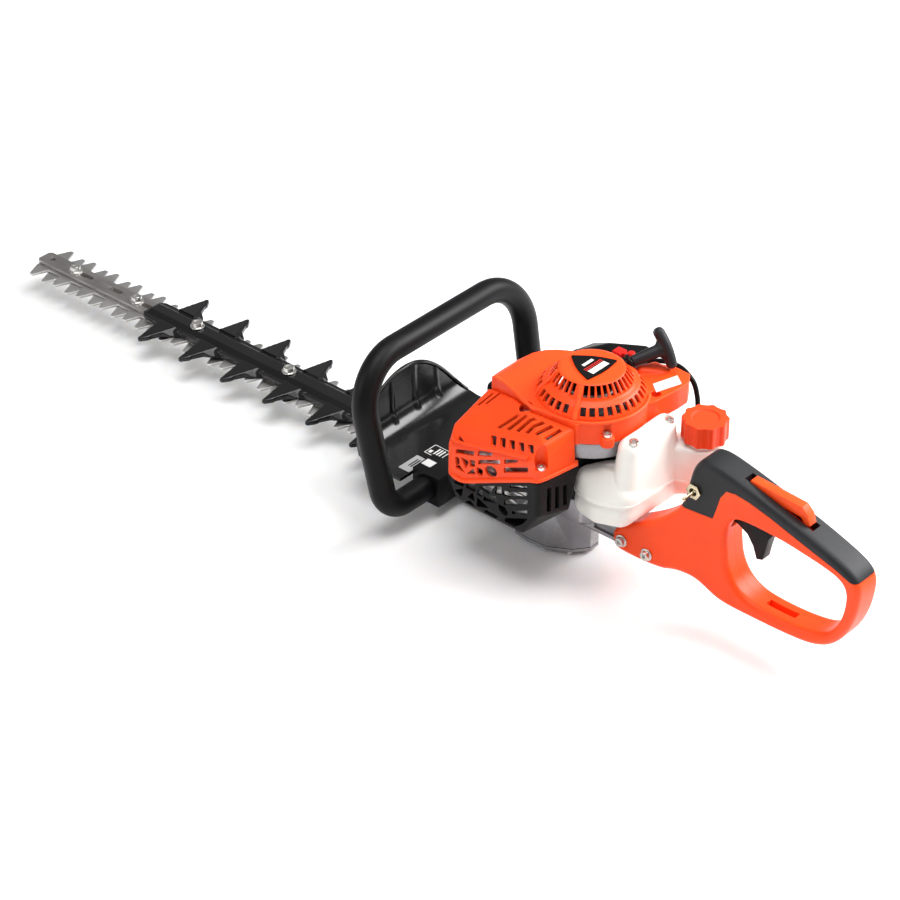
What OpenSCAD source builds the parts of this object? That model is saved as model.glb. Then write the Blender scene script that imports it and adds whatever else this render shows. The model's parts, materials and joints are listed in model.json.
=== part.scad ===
// Petrol hedge trimmer with a double-sided cutter bar.
// Machine axes: -X towards the bar tip, +X towards the rear handle, +Y the
// operator's right, +Z up. The blades slide on the machine plane z = 0.

/* [Cutter bar] */
// Front end of the guide bar
bar_tip_x = -560; // [-570:1:-540]
// Width of the guide bar
bar_w = 20; // [18:0.5:22]
// Thickness of the guide bar
bar_t = 4; // [3:0.5:4]
// Pitch of the teeth on one blade
tooth_pitch = 35; // [34:0.5:36]
// Reach of a tooth from the centre line
tooth_reach = 29.8; // [28:0.1:32]
// Thickness of one blade
blade_t = 2.5; // [2:0.1:2.5]
// Full stroke of one blade
stroke = 17.5; // [14:0.5:17.5]

/* [Comb guard] */
// Pitch of the guard's spikes
spike_pitch = 58.5; // [56:0.5:60]
// Reach of a spike from the centre line
spike_reach = 50.5; // [45:0.5:55]
// Front end of the guard
guard_front_x = -397; // [-400:1:-390]

/* [Front handle] */
// Half the width of the handle at its top
handle_half_w = 116; // [112:1:118]
// Height of the handle's tube above its lower ends
handle_rise = 151; // [145:1:155]
// Radius of the rubber grip
grip_r = 12.5; // [11:0.5:13]

/* [Engine] */
// Crank axis, distance behind the machine datum
crank_x = 180; // [180:1:181]
// Crank axis, distance to the right
crank_y = 4; // [4:0.5:4]
// Cylinder bore diameter
bore_d = 32; // [31:0.5:32]
// Radius of the fan housing's skirt
fan_r = 54; // [53.5:0.5:54]
// Height of the dome's foot
dome_z = 149; // [148:0.5:150]

/* [Fuel tank] */
// Fuel cap centre, distance behind the machine datum
cap_x = 270; // [268:1:272]
// Fuel cap centre, distance to the right
cap_y = 58; // [57:1:60]
// Radius of the fuel cap
cap_r = 22; // [21:0.5:22.5]

/* [Rear handle] */
// Half the width of the rear handle
rear_half_w = 16; // [15.5:0.5:17]

/* [Hidden] */
$fn = 64;
hull_fn = 24;
ball_fn = 12;

// The frame's origin lies below the centre of the machine's box
datum_x = 32.5;
datum_z = 24;

orange = "#f4501e";
black = "#1b1c1f";
steel = "#b9bcc0";
aluminium = "#a4a6ab";
tank_white = "#eeece2";

gap = 0.3;
blade_gap = 0.15;
bar_z = blade_gap + blade_t + gap;
bar_top = bar_z + bar_t;
bolt_xs = [-511, -419, -330, -201, -100];
guarded_xs = [-330, -201, -100];
bolt_r = 3;
spine_half = 13;
tongue_end = 118;
guard_rear_x = 8;
guard_z = bar_z + 0.25;
guard_top = 12.2;
guard_half = 17;

gear_module = 1;
pinion_teeth = 11;
gear_teeth = 48;
gear_centre = (pinion_teeth + gear_teeth) * gear_module / 2;
gear_x = crank_x - sqrt(pow(gear_centre, 2) - pow(crank_y, 2));
mesh_turn = atan2(crank_y, crank_x - gear_x) + 180 / gear_teeth;
eccentric = stroke / 2;
throw_r = 4.5;
window_r = eccentric + throw_r + gap;
rod_t = 4;
rod_low = blade_gap + blade_t;
gear_z = 10;
gear_h = 8;
case_bottom = -17;

crank_throw = 13;
crank_pin_r = 4.5;
cyl_z = 82;
pin_x = 130;
fin_half = 29;
dome_top = dome_z + 28;
cap_z = 112;

case_plan = [[118, -27], [134, -29], [157, -28], [178, -16], [189, -2], [189, 10], [180, 22],
    [157, 29], [134, 29], [118, 27]];
fan_plan = [[205, -47], [158, -53], [128, -42], [97, -31], [90, -30], [88, -20], [88, 8], [93, 24],
    [102, 34], [119, 45], [138, 54], [176, 58], [187, 63], [190, 81], [214, 88], [229, 87], [237, 74],
    [237, 60], [234, 30]];
fan_side = [[80, 127], [80, 136], [88, 142], [98, 147], [110, 149], [240, 149], [240, 127]];
lug_spots = [[226, -29], [226, 40], [149, -50]];
corner_screw = [195, -84, 116];
handle_bolt_spots = [[236.4, 20.4], [265.7, 18.6]];
cover_lip = [[70, 20], [70, 63], [108, 65], [187, 101], [215, 106], [215, 20]];
handle_outline = [[224, 12], [224, 30], [258, 49], [283, 68], [303, 91], [308, 122], [313, 138],
    [324, 149.5], [364, 141], [403, 129.5], [442, 118], [476, 105.5], [489, 98], [495, 88],
    [495, 75], [491, 52], [482, 30], [468, 14], [450, 6.5], [426, 4], [386, 3.5], [348, 4],
    [332, 11], [318, 16.5], [296, 14.5], [280, 7.5], [232, 6]];
hand_opening = [[351, 62], [350, 80], [354, 95], [364, 102], [405, 101], [438, 96.5], [470, 90.5],
    [480, 82], [481, 66], [477, 46], [468, 30], [455, 22], [430, 18], [400, 17.5], [378, 20],
    [363, 29], [354, 44]];
cover_outline = [[300, 91], [338, 93], [343, 114], [349, 127.5], [365, 127.5], [398, 120.5],
    [437, 108.5], [468, 99.5], [490, 91], [500, 92], [500, 160], [300, 160]];
trigger_outline = [[345, 92], [357, 90], [368, 84], [375, 74], [379.5, 62], [386, 64], [388, 75],
    [391, 88], [398, 99], [396, 104], [376, 110], [352, 111], [346, 106]];
trigger_pivot = [352, 105];
lockout_outline = [[365, 135], [368, 141.3], [423, 137.7], [430, 131], [433, 122], [428, 121],
    [423, 127], [400, 129.5], [370, 130]];
lockout_pivot = [370, 134];
rope_start = [184, 50, 159];
rope_dir = [0.51, 0.817, 0.271];
head_dir = [0.592, -0.104, -0.8];
cable_route = [[174, 97, 132], [184, 98, 139], [198, 98, 143], [212, 95, 145], [224, 91, 144],
    [232, 90, 138], [237, 89, 126], [240, 88, 110], [247, 88, 94], [257, 87, 80], [272, 86, 67],
    [287, 76, 59], [294, 58, 56], [298, 40, 56], [302, 26, 60], [305.5, 17, 66], [309, 8, 72]];

function unit(v) = v / norm(v);

// Moves machine coordinates into the frame
module place() { translate([datum_x, 0, datum_z]) children(); }

module rod_x(x, y, z, r, l) { translate([x, y, z]) rotate([0, 90, 0]) cylinder(r = r, h = l); }
module rod_y(x, y, z, r, l) { translate([x, y, z]) rotate([-90, 0, 0]) cylinder(r = r, h = l); }
module rod_z(x, y, z, r, l) { translate([x, y, z]) cylinder(r = r, h = l); }
module ring_z(x, y, z, r, r_in, l) {
    translate([x, y, z]) difference() {
        cylinder(r = r, h = l);
        translate([0, 0, -1]) cylinder(r = r_in, h = l + 2);
    }
}
module block(a, b) { translate(a) cube(b - a); }
// A polygon of (x, z) points, extruded from y0 to y1
module side_plate(points, y0, y1) {
    translate([0, y1, 0]) rotate([90, 0, 0]) linear_extrude(y1 - y0) polygon(points);
}
// A polygon of (x, y) points, extruded from z0 to z1
module plan_plate(points, z0, z1) {
    translate([0, 0, z0]) linear_extrude(z1 - z0) polygon(points);
}
module inset_plate(points, inset, z0, z1) {
    translate([0, 0, z0]) linear_extrude(z1 - z0) offset(delta = -inset) polygon(points);
}
module hex_z(x, y, z, r, h) { translate([x, y, z]) cylinder(r = r, h = h, $fn = 6); }
module at_crank(z) { translate([crank_x, crank_y, z]) children(); }
module at_gear(z) { translate([gear_x, 0, z]) children(); }
// Turns +Z to the given direction
module aim(dir) {
    rotate([0, acos(dir[2] / norm(dir)), atan2(dir[1], dir[0])]) children();
}
module screw_head(r, h) {
    difference() {
        cylinder(r = r, h = h);
        translate([0, 0, h * 0.4]) cylinder(r = r * 0.5, h = h, $fn = 6);
    }
}
// A tube of round section along a route, as one closed skin
module swept_tube(route, r, sides) {
    n = len(route);
    ref = unit([0.62, -0.77, 0.15]);
    function tangent(i) = unit(route[min(i + 1, n - 1)] - route[max(i - 1, 0)]);
    points = [for (i = [0:n - 1]) let (t = tangent(i), u = unit(cross(t, ref)), v = cross(t, u))
        for (k = [0:sides - 1]) route[i] + r * (cos(360 * k / sides) * u + sin(360 * k / sides) * v)];
    walls = [for (i = [0:n - 2], k = [0:sides - 1], half = [0, 1]) let (q = (k + 1) % sides)
        half == 0 ? [i * sides + k, (i + 1) * sides + q, i * sides + q]
            : [i * sides + k, (i + 1) * sides + k, (i + 1) * sides + q]];
    ends = [[for (k = [0:sides - 1]) k], [for (k = [0:sides - 1]) n * sides - 1 - k]];
    polyhedron(points, concat(walls, ends), convexity = 8);
}
// Corner points rounded to fillets, with steps + 1 points on each arc
function rounded(corners, fillets, steps) = [for (i = [0:len(corners) - 1])
    let (last = len(corners) - 1, here = corners[i])
    each (i == 0 || i == last) ? [here]
        : let (a = unit(corners[i - 1] - here), b = unit(corners[i + 1] - here),
            half = acos(a * b) / 2, f = fillets[i - 1], centre = here + unit(a + b) * f / sin(half),
            from = here + a * f / tan(half) - centre, side = sign(cross(from, a)))
        [for (k = [0:steps]) let (t = side * (180 - 2 * half) * k / steps)
            centre + [from[0] * cos(t) + from[1] * sin(t), from[1] * cos(t) - from[0] * sin(t)]]];
// The rear handle's side view cut into one layer
module handle_layer(y0, y1) { side_plate(handle_outline, y0, y1); }

// ---------- Cutter bar ----------

module guide_bar() {
    color(steel) place() difference() {
        plan_plate([[bar_tip_x, -bar_w / 2 + 3], [bar_tip_x + 3, -bar_w / 2], [73, -bar_w / 2],
            [73, bar_w / 2], [bar_tip_x + 3, bar_w / 2], [bar_tip_x, bar_w / 2 - 3]], bar_z, bar_top);
        for (x = bolt_xs) rod_z(x, 0, 0, bolt_r + 0.05, 10);
        rod_z(-546, 0, 0, 3, 10);
        rod_z(60, 0, 0, bolt_r + 0.05, 10);
        for (x = [-494, -450, -402]) {
            block([x - 6, -3, 0], [x + 6, 3, 10]);
            for (s = [-1, 1]) rod_z(x + 6 * s, 0, 0, 3, 10);
        }
    }
}
function tooth_side(tip_x, count) = [for (k = [0:count - 1]) let (x = tip_x + tooth_pitch * k)
    each [[x - 9.4, spine_half], [x - 3.4, tooth_reach - 2.5], [x - 2.2, tooth_reach],
        [x + 2.2, tooth_reach], [x + 3.4, tooth_reach - 2.5], [x + 9.4, spine_half]]];
function blade_side(tip_x, count) = concat([[-557.6, spine_half - 3]], tooth_side(tip_x, count),
    [[-36, spine_half], [-20, 12], [tongue_end, 12]]);
// One blade: first tooth at tip_x, count teeth on each side
module blade(tip_x, count, z0) {
    side = blade_side(tip_x, count);
    n = len(side);
    difference() {
        plan_plate(concat(side, [for (i = [n - 1:-1:0]) [side[i][0], -side[i][1]]]), z0, z0 + blade_t);
        for (x = bolt_xs) {
            block([x - eccentric, -bolt_r - gap, -5], [x + eccentric, bolt_r + gap, 5]);
            for (s = [-1, 1]) rod_z(x + s * eccentric, 0, -5, bolt_r + gap, 10);
        }
        rod_z(100, 0, -5, 3.5, 10);
    }
}
module upper_blade() { color(steel) place() blade(-548, 15, blade_gap); }
module lower_blade() { color(steel) place() blade(-530.5, 14, -blade_gap - blade_t); }
module blade_bolts() {
    color(steel) place() for (x = bolt_xs) {
        rod_z(x, 0, -6.2, 5.5, 6.2 - bar_z);
        rod_z(x, 0, -bar_z, bolt_r, x > -400 ? 20.5 : 15.5);
    }
}
module blade_nuts() {
    color(steel) place() for (x = bolt_xs) {
        z = x > -400 ? guard_top : bar_top;
        ring_z(x, 0, z, 7.5, bolt_r + 0.05, 1.2);
        difference() {
            hex_z(x, 0, z + 1.2, 5.8, 4.4);
            rod_z(x, 0, z, bolt_r + 0.05, 8);
        }
    }
}
module spike_outline(x, grow) {
    polygon([[x - 5 + grow, guard_half - 1], [x - 4 + grow, 24], [x - 1.8 + grow / 2, spike_reach - grow],
        [x + 1.8 - grow / 2, spike_reach - grow], [x + 6 - grow, 34], [x + 11 - grow, 26],
        [x + 19 - grow, 20], [x + 30 - grow, guard_half - 1]]);
}
module blade_guard() {
    color(black) place() difference() {
        union() {
            plan_plate([[guard_front_x, -12], [guard_front_x + 6, -guard_half], [guard_rear_x, -guard_half],
                [guard_rear_x, guard_half], [guard_front_x + 6, guard_half], [guard_front_x, 12]],
                guard_z, guard_top - 2);
            plan_plate([[guard_front_x + 3, -9], [guard_rear_x, -12], [guard_rear_x, 12],
                [guard_front_x + 3, 9]], guard_z, guard_top);
            for (k = [0:5], side = [0, 1]) mirror([0, side, 0]) {
                x = -364.8 + spike_pitch * k;
                translate([0, 0, guard_z]) linear_extrude(4.6) spike_outline(x, 0);
                translate([0, 0, guard_z + 4.6]) linear_extrude(1.6) spike_outline(x, 1.6);
            }
        }
        block([guard_front_x - 1, -bar_w / 2 - 0.2, 0], [guard_rear_x + 1, bar_w / 2 + 0.2, bar_top + 0.05]);
        for (x = guarded_xs) rod_z(x, 0, 0, bolt_r + 0.1, 20);
    }
}

// ---------- Blade drive ----------

module tooth_ring(teeth, m, backlash) {
    r = teeth * m / 2;
    circle(r = r - 1.2 * m);
    for (k = [0:teeth - 1]) rotate([0, 0, 360 * k / teeth])
        polygon([[r - 1.5 * m, -0.85 * m + backlash], [r, -0.72 * m + backlash], [r + 0.9 * m, -0.3 * m],
            [r + 0.9 * m, 0.3 * m], [r, 0.72 * m - backlash], [r - 1.5 * m, 0.85 * m - backlash]]);
}
module stadium(r, reach) {
    for (s = [-1, 1]) translate([s * reach, 0]) circle(r = r);
    square([2 * reach, 2 * r], center = true);
}
module con_rod(z0) {
    difference() {
        union() {
            at_gear(z0) linear_extrude(rod_t) stadium(window_r + 3, eccentric);
            block([92, -9, z0], [gear_x - window_r - 5, 9, z0 + rod_t]);
            rod_z(92, 0, z0, 9, rod_t);
        }
        at_gear(z0 - 1) linear_extrude(rod_t + 2) stadium(window_r, eccentric);
        rod_z(100, 0, z0 - 1, 3.5, rod_t + 2);
    }
    pin_low = min(z0, z0 > 0 ? blade_gap : z0);
    rod_z(100, 0, pin_low, 3.5, rod_t + blade_t);
}
module upper_con_rod() { color(steel) place() con_rod(rod_low); }
module lower_con_rod() { color(steel) place() con_rod(-rod_low - rod_t); }
module drive_gear() {
    color(steel) place() at_gear(gear_z) difference() {
        linear_extrude(gear_h) rotate([0, 0, mesh_turn]) tooth_ring(gear_teeth, gear_module, 0.12);
        translate([0, 0, -1]) cylinder(r = 6, h = gear_h + 2);
        for (a = [0:60:300]) rotate([0, 0, a]) translate([14, 0, -1]) cylinder(r = 4, h = gear_h + 2);
    }
}
module eccentric_shaft() {
    web_low = rod_low + rod_t + gap;
    color(steel) place() at_gear(0) {
        translate([0, 0, gear_z + gear_h]) cylinder(r = 5, h = 7.9);
        translate([0, 0, web_low]) cylinder(r = 14, h = gear_z - web_low);
        translate([0, 0, gear_z]) cylinder(r = 6, h = gear_h);
        translate([0, 0, -rod_low + 0.25]) cylinder(r = 14, h = 2 * rod_low - 0.5);
        translate([0, 0, -gear_z]) cylinder(r = 14, h = gear_z - web_low);
        translate([0, eccentric, rod_low - 0.25]) cylinder(r = throw_r, h = web_low - rod_low + 0.25);
        translate([0, -eccentric, -web_low]) cylinder(r = throw_r, h = web_low - rod_low + 0.25);
        translate([0, 0, -16.5]) cylinder(r = 4.5, h = 6.5);
    }
}
module ball_bearings() {
    color(steel) place() {
        at_gear(19.5) ring_z(0, 0, 0, 9, 5.05, 6.5);
        at_gear(-16) ring_z(0, 0, 0, 9, 4.55, 5.5);
        at_crank(20) ring_z(0, 0, 0, 8.5, 4.05, 8);
        at_crank(55) ring_z(0, 0, 0, 11, 6.05, 8);
        at_crank(100) ring_z(0, 0, 0, 11, 6.05, 8);
    }
}
module gearcase_housing() {
    color(aluminium) place() difference() {
        union() {
            plan_plate(case_plan, case_bottom, 30);
            block([46, -22, -13], [120, 22, 13]);
            at_crank(26) cylinder(r = 33, h = 26);
            at_crank(20) cylinder(r = 22, h = 7);
            block([180, -11.5, 12], [284, 11.5, 29]);
            for (a = [200, 320]) rotate_about_crank(a) translate([34, 0, 30]) cylinder(r = 4, h = 18);
        }
        at_gear(case_bottom - 1) cylinder(r = 25.6, h = 36.5);
        at_gear(-10) linear_extrude(19) stadium(window_r + 3.5, 2 * eccentric);
        block([40, -14.5, -9], [150, 14.5, 8.2]);
        at_crank(gear_z - 0.8) cylinder(r = 7.4, h = 10);
        at_gear(10) cylinder(r = 9, h = 16.2);
        at_crank(10) cylinder(r = 8.5, h = 30);
        at_crank(30) cylinder(r = 29, h = 23);
        for (p = handle_bolt_spots) rod_y(p[0], -20, p[1], 3.05, 40);
        rod_z(60, 0, 8, bolt_r + 0.05, 10);
        block([200, -20, 15.5], [226, -8.5, 25.5]);
        block([200, 8.5, 15.5], [226, 20, 25.5]);
    }
}
module rotate_about_crank(a) {
    translate([crank_x, crank_y, 0]) rotate([0, 0, a]) children();
}
module gearcase_cover() {
    color(aluminium) place() difference() {
        union() {
            plan_plate(case_plan, -21, case_bottom - 0.8);
            at_gear(-24) cylinder(r = 18, h = 4);
            at_gear(-20) cylinder(r = 12, h = 9.5);
        }
        at_gear(-16) cylinder(r = 9, h = 10);
        at_gear(-16.8) cylinder(r = 5, h = 2);
        for (p = screw_spots) rod_z(p[0], p[1], -25, 2.1, 8);
    }
}
screw_spots = [[124, -21], [124, 21], [174, -14.5], [176.5, 19.5], [183.5, 4]];
module gearcase_gasket() {
    color(black) place() difference() {
        plan_plate(case_plan, case_bottom - 0.8, case_bottom);
        at_gear(-20) cylinder(r = 25.6, h = 5);
        for (p = screw_spots) rod_z(p[0], p[1], -25, 2.1, 10);
    }
}
module gearcase_screws() {
    color(steel) place() {
        for (p = screw_spots) translate([p[0], p[1], -21]) {
            cylinder(r = 2, h = 3.9);
            mirror([0, 0, 1]) screw_head(3.4, 2.6);
        }
        translate([60, 0, bar_top]) cylinder(r = bolt_r, h = 7);
        translate([60, 0, 13]) cylinder(r = 5, h = 3);
    }
}
module pinion_shaft() {
    color(steel) place() at_crank(0) {
        translate([0, 0, gear_z]) linear_extrude(gear_h)
            rotate([0, 0, atan2(-crank_y, gear_x - crank_x)])
                tooth_ring(pinion_teeth, gear_module, 0.12);
        translate([0, 0, gear_z + gear_h]) cylinder(r = 4, h = 15);
    }
}
module clutch_drum() {
    color(steel) place() at_crank(0) {
        translate([0, 0, 33]) difference() {
            cylinder(r = 27, h = 17);
            translate([0, 0, 2]) cylinder(r = 24.6, h = 16);
        }
    }
}
module clutch_shoes() {
    color("#8a8d92") place() at_crank(37) for (a = [0, 180]) rotate([0, 0, a]) difference() {
        cylinder(r = 24, h = 10);
        translate([0, 0, -1]) cylinder(r = 10.2, h = 12);
        translate([-30, -30, -1]) cube([60, 31, 12]);
        translate([16, 8, -1]) cylinder(r = 2.5, h = 12);
    }
}

// ---------- Engine ----------

module crankcase() {
    color(aluminium) place() difference() {
        union() {
            at_crank(52) cylinder(r = 36, h = 60);
            block([140, crank_y - 25, 59], [165, crank_y + 25, 105]);
            at_crank(112) cylinder(r = fan_r, h = 15);
            block([116, crank_y - 16, 112], [150, crank_y + 16, 116]);
        }
        at_crank(66) cylinder(r = 30, h = 32);
        rod_x(139, crank_y, cyl_z, bore_d / 2 + 0.8, 30);
        block([142.1, crank_y - 22.4, 77.5], [170, crank_y + 22.4, 86.5]);
        at_crank(51) cylinder(r = 6.6, h = 70);
        at_crank(55) cylinder(r = 11, h = 8);
        at_crank(100) cylinder(r = 11, h = 20);
        at_crank(116) cylinder(r = 51, h = 12);
        block([110, crank_y - 12, 116], [140, crank_y + 12, 130]);
    }
}
module crankshaft() {
    color(steel) place() at_crank(0) {
        translate([0, 0, 37]) cylinder(r = 10, h = 11);
        translate([0, 0, 48]) cylinder(r = 6, h = 19);
        for (z = [67, 88]) translate([0, 0, z]) difference() {
            cylinder(r = 24, h = 9);
            for (s = [-1, 1]) translate([s * 26, 14, -1]) cylinder(r = 14, h = 11);
        }
        translate([0, crank_throw, 75]) cylinder(r = crank_pin_r, h = 14);
        translate([0, 0, 97]) cylinder(r = 6, h = 40);
        translate([0, 0, 137]) cylinder(r = 4, h = 8);
        translate([0, 0, 133]) difference() {
            cylinder(r = 9, h = 5, $fn = 6);
            translate([0, 0, -1]) cylinder(r = 6, h = 4.5);
        }
    }
}
module connecting_rod() {
    sweep_r = crank_throw + crank_pin_r + gap;
    color(steel) place() difference() {
        union() {
            rod_z(pin_x, crank_y, 78.3, 7, 7.4);
            block([pin_x, crank_y - 5, 78.3], [156, crank_y + 5, 85.7]);
            block([144, crank_y - 15, 78.3], [157, crank_y + 15, 85.7]);
            plan_plate([[155.5, crank_y - 15], [161, crank_y - 21.8], [178, crank_y - 21.8],
                [178, crank_y + 21.8], [161, crank_y + 21.8], [155.5, crank_y + 15]], 78.3, 85.7);
        }
        for (s = [-1, 1]) translate([crank_x + s * crank_throw, crank_y, 70]) cylinder(r = sweep_r, h = 20);
        block([crank_x - crank_throw, crank_y - sweep_r, 70], [200, crank_y + sweep_r, 90]);
        rod_z(pin_x, crank_y, 70, 4.05, 20);
    }
}
module piston() {
    r = bore_d / 2 - 0.05;
    color(aluminium) place() {
        difference() {
            rod_x(pin_x - 12, crank_y, cyl_z, r, 24);
            rod_x(pin_x - 8, crank_y, cyl_z, r - 3, 30);
            rod_z(pin_x, crank_y, cyl_z - 20, 4, 40);
            for (x = [pin_x - 10, pin_x - 7]) translate([x, crank_y, cyl_z]) rotate([0, 90, 0])
                ring_z(0, 0, 0, r + 1, r - 1.2, 1.4);
        }
        rod_z(pin_x, crank_y, cyl_z - 14, 4, 28);
    }
}
module engine_cylinder() {
    color(aluminium) place() difference() {
        union() {
            rod_x(92, crank_y, cyl_z, 21, 48);
            for (k = [0:6]) block([92 + 6.2 * k, crank_y - fin_half, cyl_z - fin_half],
                [94 + 6.2 * k, crank_y + fin_half, cyl_z + fin_half]);
            block([136, crank_y - 24, cyl_z - 22], [140, crank_y + 24, cyl_z + 22]);
            rod_y(115, crank_y - 30, cyl_z, 11, 60);
        }
        rod_x(104, crank_y, cyl_z, bore_d / 2, 40);
        rod_x(90, crank_y, cyl_z, 5, 20);
        rod_y(115, crank_y - 31, cyl_z, 7, 62);
    }
}
module spark_plug() {
    color("#d8d8d4") place() {
        rod_x(92, crank_y, cyl_z, 4.95, 12);
        translate([86, crank_y, cyl_z]) rotate([0, 90, 0]) cylinder(r = 9.5, h = 6, $fn = 6);
        rod_x(68, crank_y, cyl_z, 5, 18);
    }
}
module ignition_lead() {
    lead = [[60, 4, 92], [60, 3, 99], [63, 0, 108], [70, -2, 115], [80, -2, 119], [92, 0, 121],
        [104, 2, 122], [115.5, 4, 122]];
    color(black) place() {
        difference() {
            union() {
                rod_x(56, crank_y, cyl_z, 9, 26);
                rod_z(60, crank_y, cyl_z, 5.5, 12);
            }
            rod_x(66, crank_y, cyl_z, 5.1, 20);
        }
        swept_tube(lead, 2.6, 8);
    }
}
module ignition_coil() {
    color("#26262a") place() {
        block([116, crank_y - 9, 116.2], [128.5, crank_y + 9, 126.5]);
        block([118, crank_y - 11.5, 119], [127, crank_y - 9, 123]);
        block([118, crank_y + 9, 119], [127, crank_y + 11.5, 123]);
    }
}
module flywheel() {
    color(aluminium) place() at_crank(0) {
        difference() {
            union() {
                translate([0, 0, 118]) cylinder(r = 47, h = 7);
                translate([0, 0, 118]) cylinder(r = 14, h = 15);
                for (a = [0:18:342]) rotate([0, 0, a]) translate([24, -1, 124]) cube([21, 2, 14]);
            }
            translate([0, 0, 117]) cylinder(r = 6, h = 20);
        }
    }
}
module muffler() {
    color("#c3c5c8") place() {
        difference() {
            block([100, -79, 50], [176, -37, 106]);
            block([101.5, -77.5, 51.5], [174.5, -38.5, 104.5]);
            rod_y(115, -40, cyl_z, 7, 4);
            rod_y(120, -80, 72, 6, 4);
        }
        for (z = [60, 70, 80, 90]) block([103, -80.2, z], [173, -79, z + 4]);
        difference() {
            rod_y(115, -37, cyl_z, 11, 37 + crank_y - 30);
            rod_y(115, -38, cyl_z, 7, 37);
        }
    }
}
module carburettor() {
    color("#8d9095") place() difference() {
        union() {
            rod_y(115, crank_y + 30, cyl_z, 13, 8);
            block([98, crank_y + 38, cyl_z - 15], [132, 71.5, cyl_z + 15]);
            rod_z(115, 57, cyl_z - 22, 12, 7);
        }
        rod_y(115, crank_y + 29, cyl_z, 7, 50);
        rod_z(124, 57, cyl_z + 5, 2.05, 20);
    }
}
module throttle_arm() {
    color(steel) place() {
        rod_z(124, 57, cyl_z + 6, 2, 13);
        difference() {
            block([119, 54, cyl_z + 15.4], [145, 60, cyl_z + 17.4]);
            rod_z(141, 57, 90, 1.5, 20);
        }
    }
}
module air_cleaner_case() {
    color(black) place() difference() {
        union() {
            block([98, 72, 58], [172, 74.5, 124]);
            block([98, 74.5, 58], [172, 84, 60.5]);
            block([98, 74.5, 58], [100.5, 84, 124]);
            block([169.5, 74.5, 58], [172, 84, 124]);
        }
        rod_y(115, 60, cyl_z, 9, 20);
        rod_z(155, 79, 50, 4.1, 20);
    }
}
module air_filter() {
    color("#d9c9a3") place() block([104, 75, 64], [166, 83, 118]);
}
module air_cleaner_cover() {
    inner_fn = 8;
    color(black) place() difference() {
        hull() {
            for (p = [[106, 66], [106, 116], [164, 66], [164, 137]])
                translate([p[0], 101, p[1]]) sphere(r = 8, $fn = ball_fn);
            for (p = [[108, 125], [164, 133]]) translate([p[0], 68, p[1]]) sphere(r = 7, $fn = ball_fn);
            translate([138, 84, 135]) sphere(r = 10, $fn = ball_fn);
            block([98, 86, 58], [172, 88, 118]);
        }
        hull() for (p = [[107, 67], [163, 67], [107, 112], [163, 131]], y = [70, 100])
            translate([p[0], y, p[1]]) sphere(r = 5.5, $fn = inner_fn);
        block([90, 50, 50], [180, 84.3, 126]);
        block([90, 50, 100], [180, 60, 150]);
        rod_z(155, 76, 130, 3.05, 30);
    }
}
module choke_lever() {
    color("#c8281e") place() {
        rod_z(155, 76, 132, 3, 17);
        block([150, 71, 145.5], [160, 81, 149]);
        block([157, 74, 145.5], [171, 78, 149]);
        rod_z(169, 76, 145.5, 3.5, 7);
    }
}
module primer_bulb() {
    color("#8a2a20") place() {
        rod_z(155, 79, 45, 9, 7.5);
        rod_z(155, 79, 52, 4, 6.6);
    }
}

// ---------- Covers ----------

module dome_section(t) {
    polygon([[51, dome_z - 2], [50.7, dome_z + 2], [47.8, dome_z + 8], [43.2, dome_z + 12.4],
        [39, dome_z + 15], [38.2, dome_z + 16.6], [31.5, dome_z + 25.6], [28, dome_z + 27.3],
        [12, dome_z + 27.9], [0, dome_top], [0, dome_top - t], [27, dome_z + 27.3 - t],
        [29.5, dome_z + 24.2], [35.8, dome_z + 15.6], [36.8, dome_z + 13.2], [41, dome_z + 10.4],
        [45.4, dome_z + 6.6], [48.5, dome_z + 1], [48.5, dome_z - 2]]);
}
module fan_skin(inset, z0, z1) {
    at_crank(z0) cylinder(r = fan_r - inset, h = z1 - z0);
    inset_plate(fan_plan, inset, z0, z1);
}
module fan_housing() {
    color(orange) place() difference() {
        union() {
            difference() {
                intersection() {
                    fan_skin(0, 127, dome_z);
                    side_plate(fan_side, -60, 100);
                }
                difference() {
                    intersection() {
                        fan_skin(2.5, 126, dome_z - 2.5);
                        translate([2.5, 0, -2.5]) side_plate(fan_side, -60, 100);
                    }
                    block([60, -70, 100], [91, 100, 160]);
                }
                at_crank(120) cylinder(r = 48.5, h = 40);
                block([60, -70, 126], [92, 100, 128.5]);
            }
            difference() {
                at_crank(0) rotate_extrude() dome_section(2.5);
                for (a = [0:10:350]) rotate_about_crank(a) if (a < 65 || a > 105) {
                    translate([40, -2.5, dome_z + 3.2]) cube([14, 5, 8]);
                    translate([30, -2, dome_z + 16.8]) cube([12, 4, 7.5]);
                }
            }
            at_crank(148) cylinder(r = 4, h = dome_top - 1 - 148);
            for (p = lug_spots) difference() {
                translate([p[0], p[1], 127]) cylinder(r = 6.5, h = 10);
                at_crank(120) cylinder(r = fan_r - 1, h = 30);
            }
        }
        for (p = lug_spots) {
            rod_z(p[0], p[1], 126, 2.05, 12);
            rod_z(p[0], p[1], 137, 4.9, 15);
        }
        translate(rope_start) aim(rope_dir) {
            translate([0, 0, -12]) cylinder(r = 6, h = 24);
            translate([0, 0, 0.7]) cylinder(r = 8.3, h = 12);
        }
    }
}
cover_balls = [[201, -44, 142, 3], [192, -76, 134, 5], [193, -85, 122, 5], [193, -85, 60, 5],
    [203, -44, 105, 3], [202, -56, 60, 3], [91, -32, 127, 4], [128, -45, 140, 3], [152, -54, 143, 3],
    [89, -71, 107, 7], [93, -81, 95, 8], [93, -80, 60, 9], [84, -41, 60, 4], [85, -37, 100, 4]];
module cover_hull(grow) {
    hull() for (p = cover_balls) translate([p[0], p[1], p[2]])
        sphere(r = p[3] + grow, $fn = ball_fn);
}
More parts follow.
